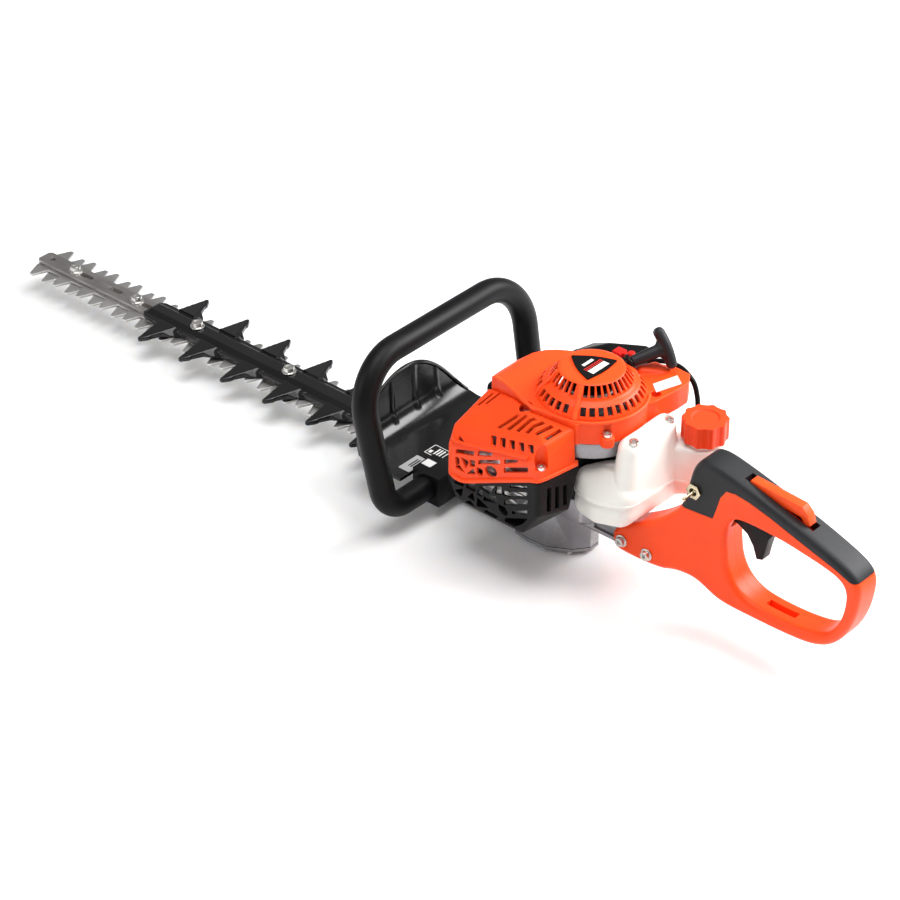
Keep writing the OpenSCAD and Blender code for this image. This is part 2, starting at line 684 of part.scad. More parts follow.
module engine_cover() {
    color(orange) place() difference() {
        union() {
            difference() {
                cover_hull(0);
                cover_hull(-2.5);
            }
            intersection() {
                cover_hull(0);
                translate(corner_screw - [0, 0, 8]) cylinder(r = 8.5, h = 50);
            }
        }
        translate(corner_screw) cylinder(r = 6.3, h = 50);
        translate(corner_screw - [0, 0, 9]) cylinder(r = 2.05, h = 20);
        side_plate(cover_lip, -120, 0);
        at_crank(100) cylinder(r = fan_r + 0.2, h = 80);
        plan_plate([[60, -20], [60, -31.5], [97, -31.5], [128, -42.5], [158, -53.5], [205, -47.5],
            [210, -20]], 117, 160);
        block([60, -34, 50], [130, 0, 118]);
        block([60, -46, 99], [160, 0, 117.5]);
        block([60, -50, 50], [200, 0, 100]);
        rod_z(lug_spots[2][0], lug_spots[2][1], 120, 7, 40);
        for (k = [0:5]) translate([140 + 9.5 * k, -67 - 1.2 * k, 130]) rotate([0, 0, -24])
            block([-1.7, -9, 0], [1.7, 9, 30]);
        for (k = [0:4]) block([130 + 11 * k, -97, 112 + 3 * k], [135 + 11 * k, -82, 122 + 3 * k]);
        for (k = [0:4]) block([104 + 16 * k, -97, 80 + 7.4 * k], [113 + 16 * k, -75, 90 + 7.4 * k]);
    }
}
module muffler_guard() {
    plan = [[85, -52], [85, -75], [92, -85], [103, -88.5], [186, -88.5], [196, -84], [201, -70],
        [204, -54], [201, -54], [198, -70], [194, -81.5], [186, -85.5], [103, -85.5], [94, -82.5],
        [88, -74], [88, -52]];
    floor_plan = [[88, -52], [88, -74], [94, -82.5], [103, -85.5], [186, -85.5], [194, -81.5],
        [198, -70], [201, -54], [192, -54], [180, -62], [100, -62]];
    color(black) place() difference() {
        union() {
            plan_plate(plan, 37.5, 108);
            plan_plate(floor_plan, 37.5, 40);
        }
        side_plate([[70, 64.6], [108, 64.6], [187, 100.6], [215, 105.6], [215, 140], [70, 140]], -100, 0);
        side_plate([[70, 30], [70, 53], [92, 47], [106, 36], [106, 30]], -100, 0);
        side_plate([[178, 30], [178, 38.5], [206, 63], [212, 63], [212, 30]], -100, 0);
        for (k = [0:7], j = [0:2]) translate([104 + 11 * k, -80, 47 + 11 * j + 1.2 * k])
            if (k > 1 || j < 1) rotate([90, 45, 0]) linear_extrude(20) square([6.4, 6.4], center = true);
        for (k = [0:3]) block([190, -78 + 9 * k, 66], [210, -73 + 9 * k, 94]);
    }
}
module cover_screws() {
    color(steel) place() {
        for (p = lug_spots) translate([p[0], p[1], 137]) {
            screw_head(4.4, 3.6);
            translate([0, 0, -9]) cylinder(r = 2, h = 9);
        }
        translate(corner_screw) {
            screw_head(4, 3);
            translate([0, 0, -7]) cylinder(r = 2, h = 7);
        }
    }
}
module starter_pulley() {
    color("#2b2c30") place() at_crank(0) difference() {
        union() {
            translate([0, 0, 152]) cylinder(r = 24, h = 2);
            translate([0, 0, 154]) cylinder(r = 18, h = 6);
            translate([0, 0, 160]) cylinder(r = 24, h = 2);
        }
        translate([0, 0, 150]) cylinder(r = 4.1, h = 20);
    }
}
module rope_coil() {
    color("#e6e6e0") place() at_crank(154.3) ring_z(0, 0, 0, 21.5, 18, 5.4);
}
module starter_rope() {
    color("#e6e6e0") place() translate(rope_start) aim(rope_dir)
        translate([0, 0, -16]) cylinder(r = 1.5, h = 24);
}
module rope_guide() {
    color(black) place() translate(rope_start) aim(rope_dir) difference() {
        union() {
            translate([0, 0, -8]) cylinder(r = 5.9, h = 10);
            translate([0, 0, 1]) cylinder(r = 8, h = 3);
        }
        translate([0, 0, -9]) cylinder(r = 2.2, h = 20);
    }
}
module starter_grip() {
    color(black) place() translate(rope_start) {
        aim(rope_dir) difference() {
            translate([0, 0, 5]) cylinder(r1 = 5, r2 = 6.5, h = 34);
            translate([0, 0, 4.5]) cylinder(r = 1.55, h = 3.5);
        }
        translate(34 * rope_dir) hull() for (s = [-1, 1], w = [-1, 1])
            translate(s * 13 * head_dir + w * 2.5 * cross(rope_dir, head_dir)) aim(rope_dir) {
                cylinder(r = 7, h = 8);
                translate([0, 0, 8]) cylinder(r = 5, h = 3);
            }
    }
}
module badge_plate() {
    color("#141416") place() at_crank(dome_top + 0.05) linear_extrude(1.2)
        polygon([for (k = [0:5]) (k % 2 == 0 ? 14.5 : 24.5) * [cos(60 * k), sin(60 * k)]]);
}

// ---------- Fuel tank ----------

tank_notch_r = 38.4;
tank_screw_spots = [[247, -17], [248, 33]];
module tank_ball(x, y, z, r) { translate([x, y, z]) sphere(r = r, $fn = hull_fn); }
module tank_body(inset) {
    hull() {
        tank_ball(208, -29, 60, 16 - inset);
        tank_ball(223, -32, 61, 16.5 - inset);
        tank_ball(240, -24, 61, 17 - inset);
        tank_ball(242, 36, 61, 17 - inset);
        tank_ball(224, 54, 62, 14 - inset);
        tank_ball(208, -26, 82, 15 - inset);
        tank_ball(242, -22, 76, 15 - inset);
        tank_ball(228, -18, 90, 14 - inset);
    }
    hull() {
        tank_ball(240, -20, 62, 15 - inset);
        tank_ball(242, 36, 62, 16 - inset);
        tank_ball(242, -16, 124, 11 - inset);
        tank_ball(243, 32, 126, 11 - inset);
    }
    hull() {
        tank_ball(240, 40, 62, 15 - inset);
        tank_ball(240, 38, 98, 12 - inset);
        translate([cap_x, cap_y, 62 + inset]) cylinder(r = 20 - inset, h = 46 - 2 * inset, $fn = 48);
    }
}
module fuel_tank() {
    color(tank_white) place() difference() {
        union() {
            tank_body(0);
            rod_z(cap_x, cap_y, 100, 17, 26);
        }
        difference() {
            tank_body(2.4);
            at_crank(40) cylinder(r = tank_notch_r + 2.5, h = 76);
            at_crank(105) cylinder(r = 58, h = 50);
        }
        rod_z(cap_x, cap_y, 70, 14, 60);
        at_crank(40) cylinder(r = tank_notch_r, h = 74);
        at_crank(108) cylinder(r = fan_r + 1.2, h = 60);
        inset_fan();
        for (p = tank_screw_spots) {
            rod_z(p[0], p[1], 132, 6, 12);
            rod_z(p[0], p[1], 116, 2.1, 20);
        }
        for (p = lug_spots) rod_z(p[0], p[1], 100, 7.5, 60);
    }
}
module inset_fan() {
    translate([0, 0, 120]) linear_extrude(60) offset(delta = 0.8) polygon(fan_plan);
}
module fuel_cap() {
    color("#e8421c") place() translate([cap_x, cap_y, cap_z]) difference() {
        linear_extrude(22) union() {
            circle(r = cap_r - 2);
            for (a = [0:36:324]) rotate([0, 0, a]) translate([cap_r - 5.5, 0]) circle(r = 5.5);
        }
        translate([0, 0, -1]) cylinder(r = 17.4, h = 18);
    }
}
module tank_screws() {
    color(steel) place() for (p = tank_screw_spots) translate([p[0], p[1], 132]) {
        screw_head(4.4, 3);
        translate([0, 0, -16]) cylinder(r = 2, h = 16);
    }
}

// ---------- Rear handle ----------

module handle_cavity() {
    side_plate([[220, 11], [220, 29.5], [284.5, 29.5], [284.5, 11]], -11.8, 11.8);
    side_plate([[338, 84], [338, 118], [401, 118], [405, 84]], -7, 7);
    side_plate([[362, 104], [362, 150], [437, 135], [437, 106]], -5.8, 5.8);
    side_plate([[303, 60], [303, 118], [340, 118], [340, 80], [320, 60]], -9, 9);
    for (p = handle_bolt_spots) rod_y(p[0], -30, p[1], 3.05, 60);
    rod_y(316, -30, 112, 5.6, 30);
    translate([301.1, 28.3, 58.5]) aim([7, -18, 12]) cylinder(r = 3.6, h = 28);
    rod_y(trigger_pivot[0], -9.5, trigger_pivot[1], 2.05, 19);
    rod_y(lockout_pivot[0], -9.5, lockout_pivot[1], 2.05, 19);
    block([392, -4, -5], [420, 4, 30]);
}
module handle_half(y0, y1) {
    difference() {
        handle_layer(y0, y1);
        side_plate(hand_opening, y0 - 1, y1 + 1);
        side_plate(cover_outline, y0 - 1, y1 + 1);
        handle_cavity();
    }
}
module rear_handle_left() { color(orange) place() handle_half(-rear_half_w, -0.05); }
module rear_handle_right() { color(orange) place() handle_half(0.05, rear_half_w); }
module grip_cover() {
    color(black) place() difference() {
        intersection() {
            handle_layer(-rear_half_w, rear_half_w);
            side_plate(cover_outline, -20, 20);
        }
        side_plate(hand_opening, -20, 20);
        handle_cavity();
    }
}
module throttle_trigger() {
    color(black) place() {
        difference() {
            side_plate(trigger_outline, -5.5, 5.5);
            rod_y(trigger_pivot[0], -10, trigger_pivot[1], 2.05, 20);
        }
    }
}
module lockout_lever() {
    color(orange) place() difference() {
        side_plate(lockout_outline, -4.8, 4.8);
        rod_y(lockout_pivot[0], -10, lockout_pivot[1], 2.05, 20);
    }
}
switch_spot = [316, -rear_half_w, 112];
bat_dir = [-0.2, -0.93, -0.31];
module stop_switch() {
    color("#c9c4b4") place() translate(switch_spot) rotate([90, 0, 0]) difference() {
        union() {
            translate([0, 0, -11]) cylinder(r = 5.5, h = 14);
            translate([0, 0, 0.1]) cylinder(r = 8, h = 2.6, $fn = 6);
        }
        translate([0, 0, -3.2]) cylinder(r = 4, h = 10);
    }
}
module switch_lever() {
    color("#d8d3c2") place() translate(switch_spot + [0, 0.5, 0]) {
        sphere(r = 2.2);
        aim(bat_dir) {
            cylinder(r = 1.3, h = 13);
            translate([0, 0, 13]) sphere(r = 2);
        }
    }
}
module handle_bolts() {
    color(steel) place() {
        for (p = handle_bolt_spots) {
            x = p[0];
            z = p[1];
            translate([x, -rear_half_w, z]) rotate([90, 0, 0]) {
                cylinder(r = 6.2, h = 1.2);
                translate([0, 0, 1.2]) screw_head(4.4, 3.8);
            }
            rod_y(x, -rear_half_w, z, 3, 2 * rear_half_w);
            translate([x, rear_half_w + 4, z]) rotate([90, 0, 0]) cylinder(r = 5.8, h = 4, $fn = 6);
        }
        for (p = [trigger_pivot, lockout_pivot]) rod_y(p[0], -9.4, p[1], 2, 18.8);
    }
}
module throttle_cable() { color(black) place() swept_tube(cable_route, 2.5, 8); }

// ---------- Front handle ----------

module front_handle() {
    foot = 108;
    outline = rounded([[-40, 0], [-foot, 0], [-handle_half_w, handle_rise],
        [handle_half_w, handle_rise], [foot, 0], [40, 0]], [24, 50, 50, 24], 7);
    lean = 11.3;
    color(black) place() translate([29, 0, 5]) rotate([0, -lean, 0])
        swept_tube([for (p = outline) [0, p[0], p[1]]], grip_r, 18);
}
module handle_bracket() {
    color(black) place() difference() {
        union() {
            for (s = [0, 1]) mirror([0, s, 0]) block([13, 24, -11], [46, 54, 21]);
            block([13, -25, 8.5], [46, 25, 13]);
            block([13, -25, -13], [46, 25, -9.2]);
        }
        for (s = [0, 1]) mirror([0, s, 0]) translate([29, 39.9, 5]) rotate([-90, 0, 0])
            cylinder(r = grip_r + 0.02, h = 20);
        rod_z(34, 0, 5, 2.6, 10);
    }
}
guard_base_z = 13.2;
guard_bend = 25;
guard_wall_x = -52;
guard_apex = 78;
guard_mid_y = 8;
guard_half_w = 80;
guard_rise = 63;
module hand_guard() {
    t = 3;
    cx = guard_wall_x + guard_bend;
    cz = guard_base_z + guard_bend;
    outer = [for (a = [270:-10:180]) [cx + guard_bend * cos(a), cz + guard_bend * sin(a)]];
    inner = [for (a = [180:10:270]) [cx + (guard_bend - t) * cos(a), cz + (guard_bend - t) * sin(a)]];
    rim = [for (k = [-20:20]) [guard_mid_y + guard_half_w * k / 20,
        guard_base_z + guard_rise * (1 - pow(k / 20, 2))]];
    color(black) place() {
        intersection() {
            side_plate(concat([[12.8, guard_base_z]], outer, [[guard_wall_x, guard_apex + 1]],
                [[guard_wall_x + t, guard_apex + 1]], inner, [[12.8, guard_base_z + t]]), -95, 95);
            rotate([90, 0, 90]) translate([0, 0, -60])
                linear_extrude(80) polygon(concat([[guard_mid_y - guard_half_w, guard_base_z - 1]], rim,
                    [[guard_mid_y + guard_half_w, guard_base_z - 1]]));
        }
        difference() {
            block([12.8, -23, guard_base_z], [42, 23, guard_base_z + t]);
            rod_z(34, 0, 5, 2.6, 20);
        }
    }
}

guide_bar();
upper_blade();
lower_blade();
blade_bolts();
blade_nuts();
blade_guard();
upper_con_rod();
lower_con_rod();
drive_gear();
eccentric_shaft();
ball_bearings();
gearcase_housing();
gearcase_cover();
gearcase_gasket();
gearcase_screws();
pinion_shaft();
clutch_drum();
clutch_shoes();
crankcase();
crankshaft();
connecting_rod();
piston();
engine_cylinder();
spark_plug();
ignition_lead();
ignition_coil();
flywheel();
muffler();
carburettor();
throttle_arm();
air_cleaner_case();
air_filter();
air_cleaner_cover();
choke_lever();
primer_bulb();
fan_housing();
engine_cover();
muffler_guard();
cover_screws();
starter_pulley();
rope_coil();
starter_rope();
starter_grip();
rope_guide();
badge_plate();
fuel_tank();
fuel_cap();
tank_screws();
rear_handle_left();
rear_handle_right();
grip_cover();
throttle_trigger();
lockout_lever();
stop_switch();
switch_lever();
handle_bolts();
throttle_cable();
front_handle();
handle_bracket();
hand_guard();
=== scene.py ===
import json
import math

import bmesh
import bpy
from mathutils import Matrix, Vector


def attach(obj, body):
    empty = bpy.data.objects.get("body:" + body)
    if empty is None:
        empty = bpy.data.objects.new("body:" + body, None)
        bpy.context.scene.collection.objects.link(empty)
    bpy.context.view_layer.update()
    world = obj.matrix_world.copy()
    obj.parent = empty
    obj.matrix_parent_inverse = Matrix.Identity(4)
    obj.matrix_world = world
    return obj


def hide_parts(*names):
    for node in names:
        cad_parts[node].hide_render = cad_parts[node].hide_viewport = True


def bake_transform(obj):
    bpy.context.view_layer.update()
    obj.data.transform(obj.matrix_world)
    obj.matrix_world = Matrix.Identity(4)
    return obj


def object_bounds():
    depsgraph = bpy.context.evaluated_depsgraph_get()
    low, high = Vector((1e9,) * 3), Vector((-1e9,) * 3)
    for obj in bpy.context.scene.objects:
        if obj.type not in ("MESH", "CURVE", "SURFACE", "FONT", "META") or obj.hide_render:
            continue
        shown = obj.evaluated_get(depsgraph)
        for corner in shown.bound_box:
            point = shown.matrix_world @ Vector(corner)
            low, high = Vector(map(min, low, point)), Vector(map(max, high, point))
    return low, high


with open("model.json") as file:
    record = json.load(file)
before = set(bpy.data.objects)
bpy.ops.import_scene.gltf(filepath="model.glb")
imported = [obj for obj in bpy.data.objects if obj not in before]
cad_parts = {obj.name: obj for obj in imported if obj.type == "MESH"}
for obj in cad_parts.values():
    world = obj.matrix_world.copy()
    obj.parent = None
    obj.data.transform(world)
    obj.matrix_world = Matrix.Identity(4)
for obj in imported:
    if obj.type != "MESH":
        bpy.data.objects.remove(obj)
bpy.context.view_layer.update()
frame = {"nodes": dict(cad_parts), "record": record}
nodes = frame["nodes"]
body_of = {n: b for b, ns in frame["record"]["behaviour"]["bodies"].items() for n in ns}
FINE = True

# Machine millimetres (blade plane at z = 0, handle datum at x = 0) to the row frame in metres
TO_ROW = Matrix.Scale(0.001, 4) @ Matrix.Translation((32.5, 0, 24))
CRANK = Vector((180, 4, 0))
FAN_CENTRE = (180, 4)
CAP_CENTRE = (270, 58)
# Where the starter rope leaves the fan housing, and the way it is pulled
ROPE_START = Vector((184, 50, 159))
ROPE_DIR = Vector((0.51, 0.817, 0.271)).normalized()


# ---------- materials ----------

def set_inputs(node, values):
    for key, value in values.items():
        node.inputs[key].default_value = value


def shader(name, base, rough, metallic=0.0, tint=0.04, tint_scale=25.0, grain=0.05,
           grain_scale=900.0, wear_and_sheen=None, coat=0.0, rough_spread=0.06, stretch=None, glow=0.0, shine=0.5):
    """A Principled material whose colour, roughness and bump vary over the object's own coordinates.

    The edge colour argument goes in noisy spots on sharp edges: worn edges on the metals, a painted edge
    highlight on the orange moulding, a paler grey on the black one.
    glow is the share of light that passes under the surface, shine the specular level.
    """
    mat = bpy.data.materials.new(name)
    mat.use_nodes = True
    tree = mat.node_tree
    tree.nodes.clear()
    add = tree.nodes.new
    link = tree.links.new
    out = add("ShaderNodeOutputMaterial")
    bsdf = add("ShaderNodeBsdfPrincipled")
    link(bsdf.outputs[0], out.inputs[0])
    coord = add("ShaderNodeTexCoord")
    mapping = add("ShaderNodeMapping")
    link(coord.outputs["Object"], mapping.inputs["Vector"])
    if stretch:
        mapping.inputs["Scale"].default_value = stretch

    def noise(scale, detail):
        field = add("ShaderNodeTexNoise")
        set_inputs(field, {"Scale": scale, "Detail": detail})
        link(mapping.outputs[0], field.inputs["Vector"])
        return field

    broad = noise(tint_scale, 4)
    ramp = add("ShaderNodeValToRGB")
    dark, pale = ramp.color_ramp.elements
    dark.position = 0.35
    pale.position = 0.65
    dark.color = (*[c * (1 - tint) for c in base], 1)
    pale.color = (*[min(1, c * (1 + tint)) for c in base], 1)
    link(broad.outputs["Fac"], ramp.inputs["Fac"])
    colour = ramp.outputs["Color"]
    # Sharp edges take the edge colour in noisy spots: worn edges on metal, a painted edge highlight on the
    # orange moulding
    if wear_and_sheen:
        geo = add("ShaderNodeNewGeometry")
        edge = add("ShaderNodeMapRange")
        set_inputs(edge, {"From Min": 0.53, "From Max": 0.62})
        link(geo.outputs["Pointiness"], edge.inputs["Value"])
        chips_and_sheen = noise(260, 2)
        mask = add("ShaderNodeMath")
        mask.operation = "MULTIPLY"
        link(edge.outputs[0], mask.inputs[0])
        link(chips_and_sheen.outputs["Fac"], mask.inputs[1])
        mix = add("ShaderNodeMix")
        mix.data_type = "RGBA"
        mix.inputs["B"].default_value = (*wear_and_sheen, 1)
        link(mask.outputs[0], mix.inputs["Factor"])
        link(colour, mix.inputs["A"])
        colour = mix.outputs["Result"]
    link(colour, bsdf.inputs["Base Color"])
    fine = noise(grain_scale, 3)
    spread = add("ShaderNodeMapRange")
    set_inputs(spread, {"To Min": max(0.02, rough - rough_spread), "To Max": min(1.0, rough + rough_spread)})
    link(broad.outputs["Fac"], spread.inputs["Value"])
    link(spread.outputs[0], bsdf.inputs["Roughness"])
    bump = add("ShaderNodeBump")
    set_inputs(bump, {"Strength": grain, "Distance": 0.0004})
    link(fine.outputs["Fac"], bump.inputs["Height"])
    link(bump.outputs[0], bsdf.inputs["Normal"])
    set_inputs(bsdf, {"Metallic": metallic, "Specular IOR Level": shine, "Coat Weight": coat,
                      "Coat Roughness": 0.15})
    if glow:
        set_inputs(bsdf, {"Subsurface Weight": glow, "Subsurface Radius": (0.02, 0.018, 0.014),
                          "Subsurface Scale": 0.3})
    return mat


# The paler orange that the shader lays on this moulding's sharp edges is a painted edge highlight
ORANGE = shader("orange_moulding", (0.90, 0.066, 0.008), 0.38, tint=0.03, grain=0.04,
                grain_scale=1400, wear_and_sheen=(0.95, 0.15, 0.04), shine=0.22)
CAP_ORANGE = shader("cap_orange", (0.80, 0.055, 0.01), 0.42, tint=0.03, grain=0.03, shine=0.2)
BLACK = shader("black_moulding", (0.0035, 0.0035, 0.004), 0.42, tint=0.2, grain=0.18,
               grain_scale=1800, wear_and_sheen=(0.014, 0.014, 0.015), shine=0.14)
GLOSS_BLACK = shader("gloss_black", (0.0025, 0.0025, 0.003), 0.21, tint=0.2, grain=0.02, shine=0.4)
BADGE_BLACK = shader("badge_black", (0.006, 0.006, 0.006), 0.6, tint=0.1, grain=0.02, shine=0.05)
RUBBER = shader("grip_rubber", (0.0022, 0.0022, 0.0025), 0.42, tint=0.25, grain=0.25,
                grain_scale=2400, rough_spread=0.08, shine=0.16)
DARK_GREY = shader("soft_grip_grey", (0.011, 0.0115, 0.0135), 0.5, tint=0.15, grain=0.3, grain_scale=2200,
                   shine=0.3)
WHITE_TANK = shader("tank_white", (0.80, 0.80, 0.75), 0.34, tint=0.03, tint_scale=12, grain=0.04,
                    grain_scale=700, glow=0.14, shine=0.35)
BLADE = shader("blade_steel", (0.5, 0.49, 0.48), 0.42, metallic=1.0, tint=0.12, grain=0.25,
               grain_scale=350, stretch=(0.15, 1, 1), wear_and_sheen=(0.85, 0.85, 0.86), rough_spread=0.1)
BAR = shader("bar_steel", (0.33, 0.31, 0.3), 0.45, metallic=1.0, tint=0.15, grain=0.2,
             grain_scale=500, wear_and_sheen=(0.6, 0.6, 0.6))
ZINC = shader("zinc_steel", (0.60, 0.59, 0.56), 0.28, metallic=1.0, tint=0.06, grain=0.06,
              wear_and_sheen=(0.9, 0.9, 0.88))
MACHINED = shader("machined_steel", (0.42, 0.42, 0.43), 0.3, metallic=1.0, tint=0.08, grain=0.1)
CAST = shader("cast_aluminium", (0.27, 0.265, 0.28), 0.42, metallic=0.8, tint=0.08, grain=0.45,
              grain_scale=1100, wear_and_sheen=(0.6, 0.6, 0.61), rough_spread=0.1)
SHEET = shader("muffler_sheet", (0.50, 0.50, 0.50), 0.35, metallic=1.0, tint=0.1, grain=0.12, grain_scale=300)
RED = shader("red_plastic", (0.5, 0.012, 0.008), 0.4, grain=0.03, shine=0.2)
FOAM = shader("filter_foam", (0.62, 0.50, 0.28), 0.9, tint=0.2, grain=0.8, grain_scale=1500)
ROPE = shader("rope_braid", (0.70, 0.69, 0.65), 0.8, tint=0.1, grain=0.8, grain_scale=1600)
LABEL = shader("label_white", (0.72, 0.72, 0.71), 0.4, tint=0.02, grain=0.02)
LABEL_GREY = shader("label_grey", (0.38, 0.38, 0.38), 0.4, tint=0.03, grain=0.02)
PALE_PINK = shader("pale_pink", (0.80, 0.62, 0.62), 0.3, tint=0.02, grain=0.02, coat=0.2)
STRIPE_RED = shader("stripe_red", (0.60, 0.015, 0.01), 0.4, tint=0.02, grain=0.02)
SWITCH = shader("switch_plating", (0.60, 0.52, 0.36), 0.25, metallic=1.0, tint=0.08, grain=0.08)


# ---------- mesh tools (all in machine millimetres until place() is called) ----------

def make(name, mesh):
    obj = bpy.data.objects.new(name, mesh)
    bpy.context.scene.collection.objects.link(obj)
    return obj


def from_bm(name, bm):
    bmesh.ops.recalc_face_normals(bm, faces=bm.faces)
    mesh = bpy.data.meshes.new(name)
    bm.to_mesh(mesh)
    bm.free()
    return make(name, mesh)


def hull(name, points):
    """The convex solid around the points."""
    bm = bmesh.new()
    for p in points:
        bm.verts.new(p)
    bmesh.ops.remove_doubles(bm, verts=bm.verts, dist=0.001)
    r = bmesh.ops.convex_hull(bm, input=bm.verts)
    loose = [g for g in r["geom_interior"] if isinstance(g, bmesh.types.BMVert)]
    bmesh.ops.delete(bm, geom=loose, context="VERTS")
    return from_bm(name, bm)


def ball(c, r, n):
    """Points on a sphere, n around its middle."""
    c = Vector(c)
    out = [c + Vector((0, 0, r)), c - Vector((0, 0, r))]
    for i in range(1, n // 2):
        t = math.pi * i / (n // 2)
        for k in range(n):
            a = 2 * math.pi * k / n
            out.append(c + r * Vector((math.sin(t) * math.cos(a), math.sin(t) * math.sin(a), math.cos(t))))
    return out


def cloud(spheres, n=24):
    """Points on several (centre, radius) spheres, as input for hull()."""
    return [p for c, r in spheres for p in ball(c, r, n)]


def prism(name, points, plane, low, high):
    """A flat outline pushed from low to high. plane names the two axes of the outline."""
    def at(p, v):
        if plane == "xy":
            return (p[0], p[1], v)
        if plane == "xz":
            return (p[0], v, p[1])
        return (v, p[0], p[1])
    bm = bmesh.new()
    a = [bm.verts.new(at(p, low)) for p in points]
    b = [bm.verts.new(at(p, high)) for p in points]
    bm.faces.new(a)
    bm.faces.new(b)
    n = len(points)
    for i in range(n):
        bm.faces.new((a[i], a[(i + 1) % n], b[(i + 1) % n], b[i]))
    return from_bm(name, bm)


def lathe(name, profile, centre):
    """A closed (radius, z) outline turned about a vertical axis; radius 0 points sit on the axis."""
    steps = 96
    bm = bmesh.new()
    rings = []
    for r, z in profile:
        if r < 0.001:
            rings.append([bm.verts.new((centre[0], centre[1], z))] * steps)
        else:
            rings.append([bm.verts.new((centre[0] + r * math.cos(2 * math.pi * k / steps),
                                        centre[1] + r * math.sin(2 * math.pi * k / steps), z))
                          for k in range(steps)])
    for i in range(len(rings)):
        a, b = rings[i], rings[(i + 1) % len(rings)]
        for k in range(steps):
            q = (k + 1) % steps
            corners = []
            for v in (a[k], a[q], b[q], b[k]):
                if v not in corners:
                    corners.append(v)
            if len(corners) > 2:
                bm.faces.new(corners)
    return from_bm(name, bm)


def rod(name, start, end, r, r_end=None, sides=32):
    """A cylinder between two points, or a cone where the radius at the end differs."""
    start, end = Vector(start), Vector(end)
    d = end - start
    turn = d.to_track_quat("Z", "Y").to_matrix().to_4x4()
    bm = bmesh.new()
    bmesh.ops.create_cone(bm, cap_ends=True, segments=sides, radius1=r, radius2=r if r_end is None else r_end,
                          depth=d.length, matrix=Matrix.Translation((start + end) / 2) @ turn)
    return from_bm(name, bm)


def upright(name, centre, low, high, r, sides=32):
    """A vertical cylinder about centre (x, y), from low to high."""
    return rod(name, (*centre, low), (*centre, high), r, sides=sides)


def cuboid(name, low, high):
    return prism(name, [(low[0], low[1]), (high[0], low[1]), (high[0], high[1]), (low[0], high[1])], "xy",
                 low[2], high[2])


def join(name, objs):
    """One object from several, which are removed."""
    bm = bmesh.new()
    for o in objs:
        o.data.transform(o.matrix_world)
        bm.from_mesh(o.data)
        bpy.data.objects.remove(o)
    mesh = bpy.data.meshes.new(name)
    bm.to_mesh(mesh)
    bm.free()
    return make(name, mesh)


def applied(obj):
    """The same object with its modifiers made part of its mesh."""
    bpy.context.view_layer.update()
    mesh = bpy.data.meshes.new_from_object(obj.evaluated_get(bpy.context.evaluated_depsgraph_get()))
    obj.modifiers.clear()
    obj.data = mesh
    return obj


def cut(obj, tools, kind="DIFFERENCE", solver="MANIFOLD"):
    """Cuts, adds or intersects the tools, which are removed afterwards."""
    for tool in tools:
        mod = obj.modifiers.new("cut", "BOOLEAN")
        mod.operation = kind
        mod.solver = solver
        mod.object = tool
    applied(obj)
    for tool in tools:
        bpy.data.objects.remove(tool)
    return obj


def melt(obj, voxel, rounds, keep=1.0):
    """Rebuilds the skin at an even grain and relaxes it, so every edge gets a moulded radius.

    keep is the share of the faces left at the end.
    """
    grain = voxel if FINE else voxel * 1.5
    mod = obj.modifiers.new("grain", "REMESH")
    mod.mode = "VOXEL"
    mod.voxel_size = grain
    soft = obj.modifiers.new("relax", "SMOOTH")
    soft.factor = 0.5
    soft.iterations = rounds if FINE else max(1, rounds // 2)
    if keep < 1:
        lean = obj.modifiers.new("lean", "DECIMATE")
        lean.ratio = keep
    return applied(obj)


def shade(mesh, angle):
    """Smooth shading, with edges steeper than angle degrees left sharp."""
    mesh.shade_smooth()
    mesh.set_sharp_from_angle(angle=math.radians(angle))


def place(obj, node, material, replaced=(), angle=35):
    """Moves a finished piece into the row frame, gives it its look and lets it ride its node's body."""
    obj.data.transform(TO_ROW)
    obj.data.materials.clear()
    obj.data.materials.append(material)
    shade(obj.data, angle)
    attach(obj, body_of[node])
    if replaced:
        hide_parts(*replaced)


def soften(node, width, material):
    """The CAD shape of one node with a small radius on its edges (width in millimetres)."""
    bm = bmesh.new()
    bm.from_mesh(nodes[node].data)
    bmesh.ops.remove_doubles(bm, verts=bm.verts, dist=1e-5)
    bmesh.ops.dissolve_limit(bm, angle_limit=math.radians(1.0), verts=bm.verts, edges=bm.edges)
    steep = math.radians(30)
    edges = [e for e in bm.edges if len(e.link_faces) == 2 and e.calc_face_angle(0) > steep]
    bmesh.ops.bevel(bm, geom=edges, offset=width / 1000, segments=2, profile=0.5, affect="EDGES",
                    clamp_overlap=True)
    mesh = bpy.data.meshes.new(node + "_soft")
    bm.to_mesh(mesh)
    bm.free()
    mesh.transform(TO_ROW.inverted())
    place(make(node + "_soft", mesh), node, material, [node], angle=40)


def rounded(points, rounds=2):
    """Chaikin's corner cutting on a closed outline."""
    for _ in range(rounds):
        out = []
        n = len(points)
        for i in range(n):
            p, q = points[i], points[(i + 1) % n]
            out.append((p[0] * 0.75 + q[0] * 0.25, p[1] * 0.75 + q[1] * 0.25))
            out.append((p[0] * 0.25 + q[0] * 0.75, p[1] * 0.25 + q[1] * 0.75))
        points = out
    return points


def tube(name, route, r, sides=12, steps=6):
    """A round tube along a Catmull-Rom route."""
    pts = [Vector(p) for p in route]
    pts = [pts[0] * 2 - pts[1]] + pts + [pts[-1] * 2 - pts[-2]]
    path = []
    for i in range(1, len(pts) - 2):
        a, b, c, d = pts[i - 1:i + 3]
        for s in range(steps):
            t = s / steps
            path.append(0.5 * ((2 * b) + (c - a) * t + (2 * a - 5 * b + 4 * c - d) * t ** 2
                               + (3 * b - a - 3 * c + d) * t ** 3))
    path.append(pts[-2])
    return sweep(name, path, r, sides)


